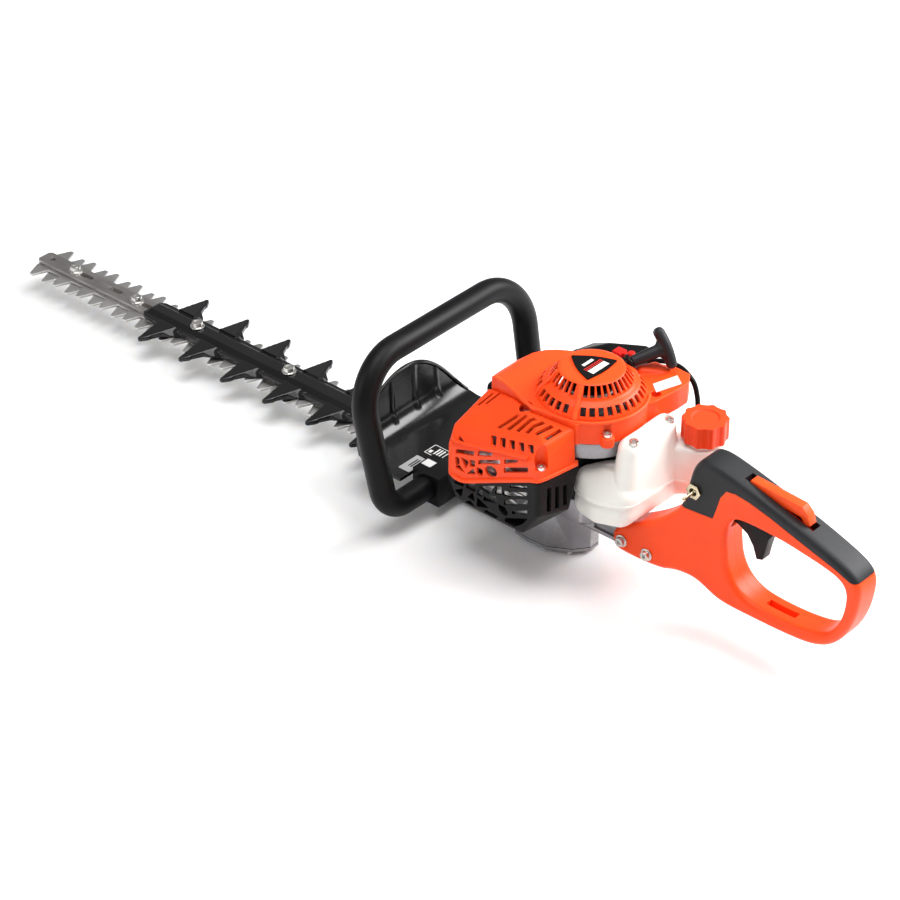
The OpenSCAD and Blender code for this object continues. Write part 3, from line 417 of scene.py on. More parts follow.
def sweep(name, path, r, sides):
    """A round bar of radius r along the path's points."""
    bm = bmesh.new()
    n = len(path)
    normal = None
    rings = []
    for i in range(n):
        t = (path[min(i + 1, n - 1)] - path[max(i - 1, 0)]).normalized()
        if normal is None:
            normal = t.orthogonal().normalized()
        normal = (normal - t * normal.dot(t)).normalized()
        side = t.cross(normal)
        rings.append([bm.verts.new(path[i] + r * (math.cos(2 * math.pi * k / sides) * normal
                                                  + math.sin(2 * math.pi * k / sides) * side))
                      for k in range(sides)])
    for i in range(n - 1):
        for k in range(sides):
            q = (k + 1) % sides
            bm.faces.new((rings[i][k], rings[i][q], rings[i + 1][q], rings[i + 1][k]))
    bm.faces.new(rings[0])
    bm.faces.new(rings[-1])
    return from_bm(name, bm)


# ---------- fan housing: dome, skirt and the front shoulder ----------

FAN_PLAN = [(205, -47), (158, -53), (128, -42), (97, -31), (90, -30), (88, -20), (88, 8), (93, 24),
            (102, 34), (119, 45), (138, 54), (176, 58), (187, 63), (190, 81), (214, 88), (229, 87), (237, 74),
            (237, 60), (234, 30)]
FAN_SIDE = [(80, 127), (80, 134), (83, 139), (88, 142.5), (94, 145.5), (101, 147.7), (110, 149), (240, 149),
            (240, 127)]
SHOULDER_ROOM = [(92, -26), (92, 8), (97, 23), (105, 32), (121, 42), (140, 51), (150, 51), (150, -48),
                 (130, -39), (99, -28)]
LUGS = [(226, -29), (226, 40), (149, -50)]
DOME_TOP = 177
DOME = [(0, 140), (51.5, 140), (51.2, 149), (50.4, 152), (47.8, 157), (45.8, 159.6), (43, 161.6), (40, 163),
        (38.8, 164), (38, 166), (32.2, 174), (30.8, 175.6), (28, 176.4), (12, 176.9), (0, DOME_TOP)]
HOLLOW = [(0, 120), (48.6, 120), (48.6, 149), (45.4, 155.6), (41.8, 159), (37.4, 161.4), (36, 163.6),
          (30, 172.4), (27.6, 174), (0, 174.5)]


def fan_housing():
    skirt = upright("skirt", FAN_CENTRE, 127, 149, 54, sides=128)
    cut(skirt, [prism("plan", FAN_PLAN, "xy", 127, 149)], "UNION")
    cut(skirt, [prism("side", FAN_SIDE, "xz", -70, 110)], "INTERSECT")
    bump = hull("rope_bump", cloud([((192, 62, 147), 7), ((196, 77, 146), 6), ((212, 78, 145), 5)], 16))
    cut(skirt, [bump], "UNION")
    cut(skirt, [lathe("dome", DOME, FAN_CENTRE)], "UNION")
    cut(skirt, [lathe("hollow", HOLLOW, FAN_CENTRE)])
    cut(skirt, [prism("shoulder", SHOULDER_ROOM, "xy", 120, 138)])
    for lug in LUGS:
        cut(skirt, [upright("lug", lug, 127.5, 137, 6.5)], "UNION")
    cut(skirt, [upright("head_room", lug, 137, 155, 4.9) for lug in LUGS])
    slots = []
    for k in range(36):
        deg = 10 * k
        # No slots by the rope's outlet, nor where the two ribs run
        if 62 < deg < 108 or deg in (290, 230):
            continue
        turn = Matrix.Translation(CRANK) @ Matrix.Rotation(math.radians(deg), 4, "Z")
        low = cuboid("low", (40, -2.6, 152.4), (56, 2.6, 160.4))
        high = cuboid("high", (28.6, -2.1, 164.8), (42, 2.1, 175.3))
        for slot in (low, high):
            slot.data.transform(turn)
            slots.append(slot)
    melt(skirt, 0.6, 5, 0.45)
    cut(skirt, [join("slots", slots)])
    cut(skirt, [upright("lug_hole", lug, 120, 138, 2.2) for lug in LUGS])
    cut(skirt, [rod("eye", ROPE_START - ROPE_DIR * 14, ROPE_START + ROPE_DIR * 12, 6)])
    cut(skirt, [rod("flange_room", ROPE_START + ROPE_DIR * 0.7, ROPE_START + ROPE_DIR * 14, 8.3)])
    place(skirt, "fan_housing", ORANGE, ["fan_housing"], angle=50)


def housing_rim():
    """The bead along the top of the shoulder and round the dome's foot, and two ribs up the dome."""
    path = [Vector(p) for p in [(97, -31.5, 146.4), (112, -36.3, 148.4), (128, -42, 148.9), (143, -47.6, 149),
                                (158, -52.2, 149)]]
    for k in range(23):
        a = math.radians(-97 + 6 * k)
        path.append(Vector((CRANK.x + 53 * math.cos(a), CRANK.y + 53 * math.sin(a), 149)))
    place(sweep("housing_rim", path, 1.7, 12), "fan_housing", ORANGE, angle=60)
    up_the_dome = [(50.9, 150.5), (47.6, 157.8), (43, 161.9), (38.4, 165.8), (32, 174.8)]
    for degrees, thickness in ((-68, 6), (-130, 4)):
        t = math.radians(degrees)
        out = Vector((math.cos(t), math.sin(t), 0))
        rib = sweep("housing_rib", [CRANK + out * r + Vector((0, 0, z)) for r, z in up_the_dome],
                    thickness / 2.6, 10)
        place(rib, "fan_housing", ORANGE, angle=60)


fan_housing()
housing_rim()

# A thin pale pink patch on the rear lobe's flat top
pale_patch = prism("lobe_pale_patch", [(214, 51), (225, 42), (233.5, 68.5), (222, 77)], "xy", 148.8, 149.3)
place(pale_patch, "fan_housing", PALE_PINK, angle=30)

# Badge on the dome: a plain triangle with bulging sides and generic bars
BADGE_RADIUS = 24.5
BADGE_BULGE = 2.6
badge = []
for k in range(3):
    start = math.radians(120 * k + 60)
    end = math.radians(120 * k + 180)
    corner, next_corner = Vector((math.cos(start), math.sin(start))), Vector((math.cos(end), math.sin(end)))
    for j in range(10):
        t = j / 10
        p = corner.lerp(next_corner, t) * BADGE_RADIUS
        p += p.normalized() * BADGE_BULGE * 4 * t * (1 - t)
        badge.append((CRANK.x + p.x, CRANK.y + p.y))
face = prism("badge_face", rounded(badge, 1), "xy", DOME_TOP - 0.1, DOME_TOP + 1.1)
place(face, "badge_plate", BADGE_BLACK, ["badge_plate"], 30)


def badge_bar(name, centre, length, width, material):
    x, y = centre
    bar = cuboid(name, (x - width / 2, y - length / 2, DOME_TOP + 0.9),
                 (x + width / 2, y + length / 2, DOME_TOP + 1.3))
    place(bar, "badge_plate", material, angle=30)


badge_bar("badge_bar_wide", (187.5, 4), 23, 6.6, LABEL)
for k in range(2):
    badge_bar(f"badge_line_{k}", (180.2 + 2.2 * k, 4), 24, 0.9, STRIPE_RED)
badge_bar("badge_bar_thin", (175, 4), 14, 3.2, LABEL)

# ---------- engine cover and muffler guard ----------

COVER_BALLS = [((201, -44, 142), 3), ((192, -76, 134), 5), ((193, -85, 122), 5), ((193, -85, 68), 5),
               ((176, -86, 43), 4), ((203, -44, 105), 3), ((202, -56, 63), 3), ((178, -56, 42), 3),
               ((91, -32, 127), 4), ((128, -45, 140), 3), ((152, -54, 143), 3), ((89, -71, 107), 7),
               ((93, -81, 95), 8), ((93, -80, 60), 9), ((84, -41, 60), 4), ((85, -37, 100), 4),
               ((101, -79, 44), 9), ((90, -40, 50), 5)]
CORNER_SCREW = Vector((195, -84, 116))
LIP = [(60, 62.5), (108, 64.5), (150, 83.5), (187, 101), (215, 106)]


def cover_solid(name, grow):
    """The rounded block that the cover and the muffler guard share, grown or shrunk all round."""
    return hull(name, cloud([(c, r + grow) for c, r in COVER_BALLS]))


def windows(shapes, low, high, grow=0.9):
    """Openings with slightly eased corners, each grown a little about its middle."""
    out = []
    for shape in shapes:
        mid = sum((Vector(p) for p in shape), Vector((0, 0))) / len(shape)
        big = [Vector(p) + (Vector(p) - mid).normalized() * grow for p in shape]
        eased = []
        for i, p in enumerate(big):
            for q in (big[i - 1], big[(i + 1) % len(big)]):
                eased.append(p + (q - p).normalized() * min(0.9, 0.3 * (q - p).length))
        out.append(prism("window", eased, "xz", low, high))
    return out


def ellipse(x, z, a, b, turn):
    """The outline of an ellipse about (x, z), tipped by turn degrees."""
    t = math.radians(turn)
    out = []
    for k in range(20):
        p = 2 * math.pi * k / 20
        out.append((x + a * math.cos(p) * math.cos(t) - b * math.sin(p) * math.sin(t),
                    z + a * math.cos(p) * math.sin(t) + b * math.sin(p) * math.cos(t)))
    return out


def shell(name, wall, other_side):
    """The shared block made hollow, less the other side of the lip, the inboard part and the fan's room."""
    skin = cover_solid(name, 0)
    cut(skin, [cover_solid("inside", -wall)])
    cut(skin, [other_side])
    cut(skin, [cuboid("inboard", (60, -34, 30), (130, 10, 117)),
               cuboid("inboard_low", (60, -46, 30), (215, 10, 100))])
    fan = upright("fan_clear", FAN_CENTRE, 90, 170, 54.4, sides=128)
    plan = prism("plan_clear", [(60, -15), (60, -31.6), (97, -31.6), (128, -42.6), (158, -53.6), (205, -47.6),
                                (215, -15)], "xy", 110, 170)
    cut(skin, [fan, plan])
    return skin


def slanted_slot(name, start, end, side):
    """A cutter seen from above: start and end are the middles of its ends, side is half its width."""
    return prism(name, [start - side, end - side, end + side, start + side], "xy", 112, 170)


def engine_cover():
    below = prism("below", LIP + [(215, 10), (60, 10)], "xz", -120, 20)
    skin = shell("engine_cover_skin", 2.6, below)
    openings = windows([
        [(98.5, 92.5), (99, 97), (120, 103.8), (119, 98.6)],
        [(97, 107), (98.5, 101.5), (108, 105.3)],
        [(105, 90.5), (113.5, 90), (110.5, 81.5)],
        [(115.5, 92), (121, 94), (121, 87.5), (116, 86)],
        [(97.5, 87.5), (101.8, 88), (102.4, 82), (98.5, 79.5)],
        [(98, 76.8), (110, 75.2), (102, 81)],
        [(112, 76), (119.5, 84.5), (121.5, 79.5)],
        [(125, 101.5), (126, 107), (142, 111.5), (139.5, 107.2)],
        [(126, 92), (126.5, 97.5), (151, 108.3), (150.5, 103.2), (129, 94.5)],
        [(124.3, 82), (124.3, 88), (130.3, 88.5), (130.3, 82)],
        [(157, 107), (157.5, 112), (172, 118), (171.5, 115)],
        [(157, 97.5), (157, 103), (184, 115.3), (184, 109.8)],
    ], -110, -78)
    openings.append(prism("oval", ellipse(141, 91.5, 7.4, 5.8, 25), "xz", -110, -78))
    openings += windows([[(136.6 + 11.2 * k, 114.8 + 2.9 * k), (143 + 11.2 * k, 116.6 + 2.9 * k),
                          (138 + 11.2 * k, 123.3 + 2.7 * k), (131.2 + 11.2 * k, 121.2 + 2.7 * k)]
                         for k in range(5)], -110, -74, 0)
    boss = cover_solid("boss", -0.3)
    post = rod("boss_rod", CORNER_SCREW - Vector((0, 0, 8)), CORNER_SCREW + Vector((0, 0, 40)), 8.6)
    cut(boss, [post], "INTERSECT")
    cut(skin, [boss], "UNION")
    melt(skin, 0.6, 5, 0.5)
    cut(skin, [join("openings", openings)])
    slots = []
    for k in range(6):
        start = Vector((135 + 11 * k, -72.4))
        end = Vector((148 + 9.2 * k, -59.4 + 0.8 * k))
        slots.append(slanted_slot("slot", start, end, Vector((2.3, -0.3))))
    for start, end in (((93.2, -52.4), (98.7, -38)), ((101.4, -51), (107.5, -37.2))):
        slots.append(slanted_slot("front_slot", Vector(start), Vector(end), Vector((1.5, -0.4))))
    cut(skin, [join("slots", slots)])
    cut(skin, [rod("corner_recess", CORNER_SCREW, CORNER_SCREW + Vector((0, 0, 60)), 6.3),
               rod("corner_hole", CORNER_SCREW - Vector((0, 0, 20)), CORNER_SCREW + Vector((0, 0, 1)), 2.1),
               upright("lug_pocket", LUGS[2], 120, 170, 7)])
    place(skin, "engine_cover", ORANGE, ["engine_cover"], angle=50)


engine_cover()


def cover_trim():
    """The raised ridge over the perforated band, and the thick lip along the cover's lower edge."""
    ridge = [(89, -83, 102), (96, -88, 104.2), (110, -89.3, 107.6), (140, -90, 115.4), (169, -90, 122),
             (184, -90, 125.6)]
    piece = sweep("cover_ridge", [Vector(p) for p in ridge], 1.7, 10)
    place(melt(piece, 0.5, 3), "engine_cover", ORANGE, angle=60)
    lip = [(81, -45, 65), (83.4, -70, 65), (87, -82.5, 65.4), (95, -88.6, 66), (108, -89.4, 66.5),
           (128, -90, 75.6), (150, -90, 86), (170, -90, 95.3), (187, -90, 103), (194, -88.6, 104.8),
           (197.6, -84.5, 105.6), (201.5, -70, 106.6), (205.6, -47, 107.2)]
    place(tube("cover_lip", lip, 2.3, 10, 5), "engine_cover", ORANGE, angle=60)


cover_trim()


def muffler_guard():
    above = prism("above", [(p[0], p[1] - 0.3) for p in LIP] + [(215, 200), (60, 200)], "xz", -120, 20)
    skin = shell("muffler_guard_skin", 2.4, above)
    openings = windows([
        [(164, 84.5), (164.5, 87), (183.5, 95), (183.5, 92)],
        [(156, 72.5), (156.5, 77), (183.5, 88), (183.5, 83), (163, 73.8)],
        [(157.5, 62.5), (158, 68.5), (185, 80.5), (185.5, 75.5), (167, 66.5)],
        [(167, 56.8), (167.5, 60.5), (185.5, 69), (185.5, 65)],
        [(158.5, 44.5), (159, 48.5), (185, 59.8), (178.5, 51), (170, 44.5)],
        [(127, 68.5), (145, 77.5), (139, 66.5)],
        [(132, 55.5), (134, 61.5), (147, 67), (147, 59.5)],
        [(133, 42), (135, 46), (150, 46), (146, 42)],
        [(124, 45), (125, 55), (138.5, 49.8)],
        [(112.5, 50), (119, 58), (121, 49.5)],
        [(97, 50.5), (107, 57), (104, 46.5)],
        [(111, 60), (112.5, 66), (123, 69.5), (121.5, 60.5)],
        [(97, 58.5), (97.5, 63), (108.5, 63.2), (106.5, 59.5)],
        [(124.5, 59), (126.5, 65), (131.5, 65.5), (129.5, 58.5)],
        [(146, 70), (148, 77.5), (153.5, 80), (153, 71.5)],
        [(109, 42), (115, 46.8), (121, 43)],
    ], -110, -77, 0.8)
    openings.append(prism("oval", ellipse(156, 56, 6.2, 4.4, -35), "xz", -110, -77))
    for k in range(3):
        y0, y1, top = -80 + 9 * k, -75.5 + 9 * k, 94 - 2 * k
        openings.append(prism("rear_window", [(y0, 68), (y1, 68), (y1, top), (y0, top)], "yz", 190, 215))
    melt(skin, 0.6, 4, 0.5)
    cut(skin, [join("openings", openings)])
    place(skin, "muffler_guard", BLACK, ["muffler_guard"], angle=50)


muffler_guard()

# ---------- fuel tank and cap ----------

BOWL = [((208, -29, 60), 16), ((223, -32, 61), 16.5), ((240, -24, 61), 17), ((242, 36, 61), 17),
        ((224, 54, 62), 14), ((208, -26, 82), 15), ((242, -22, 76), 15), ((228, -18, 90), 14)]
TOWER = [((240, -20, 62), 15), ((242, 36, 62), 16), ((242, -16, 124), 11), ((243, 32, 126), 11)]
SPOUT = [((240, 40, 62), 15), ((240, 38, 98), 12)]
TANK_SCREWS = [(247, -17), (248, 33)]
SEAM_Z = 73


def fuel_tank():
    body = hull("tank_body", cloud(BOWL))
    cut(body, [hull("tank_tower", cloud(TOWER))], "UNION")
    spout = cloud(SPOUT)
    for k in range(48):
        a = k / 24 * math.pi
        x, y = CAP_CENTRE[0] + 20 * math.cos(a), CAP_CENTRE[1] + 20 * math.sin(a)
        spout += [(x, y, 62), (x, y, 108)]
    cut(body, [hull("tank_spout", spout)], "UNION")
    crank_clear = upright("crank_clear", FAN_CENTRE, 30, 114, 38.4, sides=96)
    fan_clear = upright("fan_clear", FAN_CENTRE, 108, 170, 55.4, sides=96)
    plan = prism("plan_clear", [(205, -48), (205, 66), (210, 89), (231, 89), (238.5, 60), (235, 29)], "xy",
                 120, 170)
    cut(body, [crank_clear, fan_clear, plan])
    cut(body, [upright("lug_clear", lug, 100, 170, 7.5) for lug in LUGS])
    melt(body, 0.8, 16, 0.5)
    # Below the seam the tank is 2 mm slimmer, and a 0.5 mm bead marks the seam itself
    parts = []
    for name, grow, low, high in (("tank_lower", -2.0, 30, SEAM_Z),
                                  ("tank_bead", 0.5, SEAM_Z - 1.2, SEAM_Z + 1.2)):
        part = make(name, body.data.copy())
        shift = [Vector((v.normal.x, v.normal.y, 0)) * grow for v in part.data.vertices]
        for v, d in zip(part.data.vertices, shift):
            v.co += d
        parts.append(cut(part, [cuboid("band", (150, -80, low), (330, 120, high))], "INTERSECT"))
    cut(body, [cuboid("under", (150, -80, 20), (330, 120, SEAM_Z))])
    for part in parts:
        cut(body, [part], "UNION")
    cut(body, [upright("crank_room", FAN_CENTRE, 30, 114, 38.4, sides=96)])
    cut(body, [upright("boss", screw, 132, 150, 6) for screw in TANK_SCREWS])
    cut(body, [upright("neck", CAP_CENTRE, 100, 126, 17, sides=48)], "UNION")
    place(body, "fuel_tank", WHITE_TANK, ["fuel_tank"], angle=60)


fuel_tank()


def fuel_cap():
    """A cap with ten soft grip lobes, a shallow dish on top and room for the neck."""
    cap_top = 134
    ring = []
    steps = 160
    for k in range(steps):
        a = 2 * math.pi * k / steps
        r = 20.8 + 1.15 * max(-0.6, math.cos(10 * a))
        ring.append((CAP_CENTRE[0] + r * math.cos(a), CAP_CENTRE[1] + r * math.sin(a)))
    cap = prism("fuel_cap_body", ring, "xy", 112.3, cap_top)
    cut(cap, [upright("inside", CAP_CENTRE, 111, 129, 17.4)], solver="EXACT")
    cut(cap, [upright("dish", CAP_CENTRE, cap_top - 1.2, cap_top + 2, 13, sides=48)], solver="EXACT")
    melt(cap, 0.5, 5, 0.5)
    place(cap, "fuel_cap", CAP_ORANGE, ["fuel_cap"], angle=60)


fuel_cap()

# ---------- rear handle ----------

HANDLE = [(224, 12), (224, 30), (258, 49), (283, 68), (303, 91), (308, 122), (313, 138), (324, 149.5),
          (364, 141), (403, 129.5), (442, 118), (476, 105.5), (489, 98), (495, 88), (495, 75), (491, 52),
          (482, 30), (468, 14), (450, 6.5), (426, 4), (386, 3.5), (348, 4), (332, 11), (318, 16.5),
          (296, 14.5), (280, 7.5), (232, 6)]
HOLE = [(351, 62), (350, 80), (354, 95), (364, 102), (405, 101), (438, 96.5), (470, 90.5), (480, 82),
        (481, 66), (477, 46), (468, 30), (455, 22), (430, 18), (400, 17.5), (378, 20), (363, 29), (354, 44)]
COVER_LINE = [(296, 88), (337, 91.5), (341, 105), (344, 117), (350, 126.5), (360, 128), (376, 126),
              (398, 120.5), (437, 108.5), (468, 99.5), (486, 92.5), (500, 92)]


def slab(name, outlines, half, radius):
    """A plate in the XZ plane with rounded rims, from closed outlines (the second is a hole)."""
    curve = bpy.data.curves.new(name, "CURVE")
    curve.dimensions = "2D"
    curve.fill_mode = "BOTH"
    curve.extrude = half - radius
    curve.bevel_depth = radius
    curve.offset = -radius
    curve.bevel_resolution = 5
    for outline in outlines:
        spline = curve.splines.new("POLY")
        spline.points.add(len(outline) - 1)
        for i, p in enumerate(outline):
            spline.points[i].co = (p[0], p[1], 0, 1)
        spline.use_cyclic_u = True
    source = bpy.data.objects.new(name, curve)
    bpy.context.scene.collection.objects.link(source)
    bpy.context.view_layer.update()
    mesh = bpy.data.meshes.new_from_object(source.evaluated_get(bpy.context.evaluated_depsgraph_get()))
    bpy.data.objects.remove(source)
    mesh.transform(Matrix.Rotation(math.pi / 2, 4, "X"))
    bm = bmesh.new()
    bm.from_mesh(mesh)
    bmesh.ops.remove_doubles(bm, verts=bm.verts, dist=0.01)
    bpy.data.meshes.remove(mesh)
    return from_bm(name, bm)


def handle_cavities():
    """Cutters for the mount arm, the trigger, the lockout lever and the slot in the loop's lower bar."""
    return [prism("arm", [(220, 11), (220, 29.5), (284.5, 29.5), (284.5, 11)], "xz", -11.8, 11.8),
            prism("trigger_slot", [(338, 84), (338, 118), (401, 118), (405, 84)], "xz", -7, 7),
            prism("lock_slot", [(362, 106), (362, 150), (437, 135), (437, 107)], "xz", -5.8, 5.8),
            cuboid("loop_slot", (392, -4, 10), (424, 4, 30))]


def cable_entry():
    """The hole through which the throttle cable enters the handle."""
    aim = Vector((7, -18, 12)).normalized()
    start = Vector((301.1, 28.3, 58.5))
    return rod("entry", start, start + aim * 28, 3.6)


def rear_handle():
    """One rounded loop, split into a left half, a right half and the grip cover above COVER_LINE."""
    above = [(500, 170), (296, 170)]
    whole = slab("rear_handle_body", [rounded(HANDLE, 3), rounded(HOLE, 3)], 16, 6.0)
    melt(whole, 0.7, 6, 0.6)
    grip = make("grip_part", whole.data.copy())
    cut(whole, [prism("upper", COVER_LINE + above, "xz", -30, 30)])
    cut(whole, handle_cavities())
    cut(whole, [cable_entry()])
    right = make("rear_handle_right_body", whole.data.copy())
    cut(whole, [cuboid("right_half", (200, -0.12, -10), (510, 30, 170))])
    cut(right, [cuboid("left_half", (200, -30, -10), (510, 0.12, 170))])
    whole.name = "rear_handle_left_body"
    place(whole, "rear_handle_left", ORANGE, ["rear_handle_left"], angle=45)
    place(right, "rear_handle_right", ORANGE, ["rear_handle_right"], angle=45)
    gap = 0.5
    region = [(x, z + gap) for x, z in COVER_LINE] + above
    cut(grip, [prism("grip_region", region, "xz", -30, 30)], "INTERSECT")
    cut(grip, handle_cavities())
    for k in range(3, 7):
        groove = cuboid("groove", (-5, -30, -0.6), (5, -15.4, 0.6))
        spot = Matrix.Translation((318 + 12 * k, 0, 128 - 3.3 * k))
        groove.data.transform(spot @ Matrix.Rotation(math.radians(17), 4, "Y"))
        cut(grip, [groove])
    place(grip, "grip_cover", DARK_GREY, ["grip_cover"], angle=45)


rear_handle()

# ---------- front handle ----------

HANDLE_FOOT = Vector((29, 0, 5))
LEAN = math.radians(11.3)


def loop_path():
    """The loop's centre line: straight runs between (y, z) corners that are rounded by the fillets."""
    corners = [(-40, 0), (-108, 0), (-116, 151), (116, 151), (108, 0), (40, 0)]
    fillets = [24, 50, 50, 24]
    path = [Vector((0, *corners[0]))]
    for i in range(1, 5):
        here = Vector(corners[i])
        a = (Vector(corners[i - 1]) - here).normalized()
        b = (Vector(corners[i + 1]) - here).normalized()
        half = math.acos(a.dot(b)) / 2
        f = fillets[i - 1]
        centre = here + (a + b).normalized() * f / math.sin(half)
        start = here + a * f / math.tan(half) - centre
        turn = math.pi - 2 * half
        way = 1 if start.x * a.y - start.y * a.x < 0 else -1
        for k in range(21):
            t = way * turn * k / 20
            p = centre + Vector((start.x * math.cos(t) - start.y * math.sin(t),
                                 start.x * math.sin(t) + start.y * math.cos(t)))
            path.append(Vector((0, p.x, p.y)))
    path.append(Vector((0, *corners[5])))
    dense = []
    for p, q in zip(path, path[1:]):
        steps = max(1, int((q - p).length / 8))
        for s in range(steps):
            dense.append(p.lerp(q, s / steps))
    dense.append(path[-1])
    lean = Matrix.Translation(HANDLE_FOOT) @ Matrix.Rotation(-LEAN, 4, "Y")
    return [lean @ p for p in dense]


place(sweep("front_grip", loop_path(), 12.4, 48), "front_handle", RUBBER, ["front_handle"], angle=60)

# ---------- blade guard ----------


def guard_fin(x, s):
    """One fin at x, hollowed behind its tip; s is the side, -1 or 1."""
    points = [(x - 6.5, 14, 3.3), (x + 26, 14, 3.3), (x - 1.6, 50.3, 3.5), (x + 1.6, 50.3, 3.5),
              (x - 1.2, 50, 7.6), (x + 1.2, 50, 7.6), (x - 5.5, 13, 10.8), (x + 17, 13, 10.8)]
    fin = hull("fin", [(a, s * b, c) for a, b, c in points])
    scoop = [(x + 33, s * 14.5), (x + 24, s * 21), (x + 12.5, s * 28), (x + 7.4, s * 38),
             (x + 5.5, s * 52), (x + 40, s * 52)]
    cut(fin, [prism("scoop", scoop, "xy", 0, 20)])
    points = [(-3, 13, 3.3), (32, 13, 3.3), (22, 21.5, 3.3), (-5, 20, 3.3), (0, 13, 9.8), (24, 13, 9.8),
              (10, 24, 7.2)]
    root = hull("root", [(x + a, s * b, c) for a, b, c in points])
    return cut(fin, [root], "UNION")


def blade_guard():
    """A spine over the bar with six pairs of swept fins."""
    spine = prism("spine", [(-397, -12), (-391, -16), (8, -17), (8, 17), (-391, 16), (-397, 12)], "xy",
                  3.3, 8.4)
    top = hull("spine_top", [(x, s * y, z) for s in (-1, 1) for x, y, z in
                             [(-394, 11, 8.2), (8, 13, 8.2), (-392, 6, 12.1), (8, 8, 12.1)]])
    cut(spine, [top], "UNION")
    for k in range(6):
        x = -364.8 + 58.5 * k
        for s in (-1, 1):
            cut(spine, [guard_fin(x, s)], "UNION", "EXACT")
    cut(spine, [cuboid("bar_room", (-400, -10.2, 0), (10, 10.2, 7))], solver="EXACT")
    melt(spine, 0.7, 3, 0.6)
    for x in (-330, -201, -100):
        cut(spine, [upright("seat", (x, 0), 11.4, 16, 8.5)], solver="EXACT")
    place(spine, "blade_guard", GLOSS_BLACK, ["blade_guard"], angle=50)


blade_guard()

# ---------- hand guard ----------

GUARD_MIDDLE = 8
# The sheet's bend: centre (x, z) and radius
BEND_X, BEND_Z, BEND = -27, 38.2, 25
SHEET_SECTION = [(12.8, 13.2), (0, 13.2), (-14, 13.2)]
SHEET_SECTION += [(BEND_X + BEND * math.cos(math.radians(a)), BEND_Z + BEND * math.sin(math.radians(a)))
                  for a in range(270, 179, -6)]
SHEET_SECTION += [(-52.3, 50), (-53, 62), (-52.6, 72), (-52, 79)]


def arch(y):
    """Height of the guard's top edge."""
    return 13.2 + 63 * (1 - ((y - GUARD_MIDDLE) / 80) ** 2)


def groove_depth(y):
    """Four shallow upright grooves across the wall."""
    return sum(1.3 * math.exp(-((y - line) / 1.5) ** 2) for line in (-44, -12, 20, 52))


def guard_sheet():
    """The base, the bend and the upright wall as one sheet of columns that end at the arch."""
    section = SHEET_SECTION
    lengths = [0]
    for p, q in zip(section, section[1:]):
        lengths.append(lengths[-1] + math.dist(p, q))
    bm = bmesh.new()
    rows, cols = 72, 40
    half = 79.4
    shortest = 28.0
    grid = []
    for j in range(rows + 1):
        y = GUARD_MIDDLE - half + 2 * half * j / rows
        top = arch(y)
        end = lengths[-1]
        for i in range(3, len(section)):
            if section[i][1] > top:
                k = (top - section[i - 1][1]) / max(1e-6, section[i][1] - section[i - 1][1])
                end = lengths[i - 1] + max(0, k) * (lengths[i] - lengths[i - 1])
                break
        end = max(end, shortest)
        col = []
        for m in range(cols + 1):
            want = end * m / cols
            i = 1
            while i < len(section) - 1 and lengths[i] < want:
                i += 1
            k = (want - lengths[i - 1]) / (lengths[i] - lengths[i - 1])
            dx, dz = section[i][0] - section[i - 1][0], section[i][1] - section[i - 1][1]
            x, z = section[i - 1][0] + k * dx, section[i - 1][1] + k * dz
            norm = math.hypot(dx, dz)
            off = groove_depth(y) if z > 22 else 0
            col.append(bm.verts.new((x + dz / norm * off, y, z - dx / norm * off)))
        grid.append(col)
    for j in range(rows):
        for m in range(cols):
            bm.faces.new((grid[j][m], grid[j + 1][m], grid[j + 1][m + 1], grid[j][m + 1]))
    return from_bm("hand_guard_sheet", bm)


def hand_guard():
    """A bent sheet with a rolled rim along its arched edge, and the tab under its screw."""
    sheet = guard_sheet()
    thick = sheet.modifiers.new("thick", "SOLIDIFY")
    thick.thickness = 3.0
    thick.offset = 0
    applied(sheet)
    sheet.data.transform(Matrix.Translation((0, 0, 1.4)))
    place(sheet, "hand_guard", GLOSS_BLACK, ["hand_guard"], angle=50)
    rim = []
    for j in range(61):
        y = GUARD_MIDDLE - 78.6 + 2.62 * j
        top = arch(y)
        # The section's point nearest this height, on the bend's outer side
        best = min(SHEET_SECTION, key=lambda p: abs(p[1] - top) + (0 if p[0] < -20 else 30))
        rim.append(Vector((best[0] + 0.5 if top > 60 else best[0] + 1.0, y, top + 0.5)))
    smooth_rim = []
    for i in range(61):
        near = [rim[max(0, min(60, i + d))] for d in range(-2, 3)]
        smooth_rim.append(sum(near, Vector()) / 5)
    place(sweep("hand_guard_rim", smooth_rim, 2.3, 12), "hand_guard", GLOSS_BLACK, angle=60)
    tab = cuboid("hand_guard_tab", (10, -23, 13.2), (42, 23, 16.2))
    cut(tab, [upright("tab_hole", (34, 0), 5, 25, 2.6)], solver="EXACT")
    place(tab, "hand_guard", GLOSS_BLACK, angle=30)


hand_guard()


def guard_label(name, node, box, z, material, marks):
    """A thin plain label lying at z. A box is x0, y0, x1, y1, and each mark is a box and its material."""
    for i, ((x0, y0, x1, y1), look) in enumerate([(box, material)] + marks):
        thickness = 0.2 + 0.12 * min(i, 2)
        place(cuboid(f"{name}_{i}", (x0, y0, z), (x1, y1, z + thickness)), node, look, angle=30)


guard_label("guard_label_grey", "hand_guard", (-1.8, -58, 11.8, -31), 16.15, LABEL_GREY,
            [((3.2, -50, 4.6, -36), BLACK), ((6, -50, 7.4, -36), BLACK)])
guard_label("guard_label_frame", "hand_guard", (-0.5, -22.6, 19.5, -6), 16.15, LABEL,
            [((0.4, -21.7, 18.6, -6.9), BLACK), ((2, -20, 5.4, -15.5), LABEL), ((8, -20, 9.6, -9), LABEL),
             ((11.2, -20, 12.8, -9), LABEL), ((14.4, -20, 16, -9), LABEL)])
guard_label("bracket_label", "handle_bracket", (15, -44, 26, -34), 21, LABEL, [])

# ---------- starter: pull handle and rope ----------


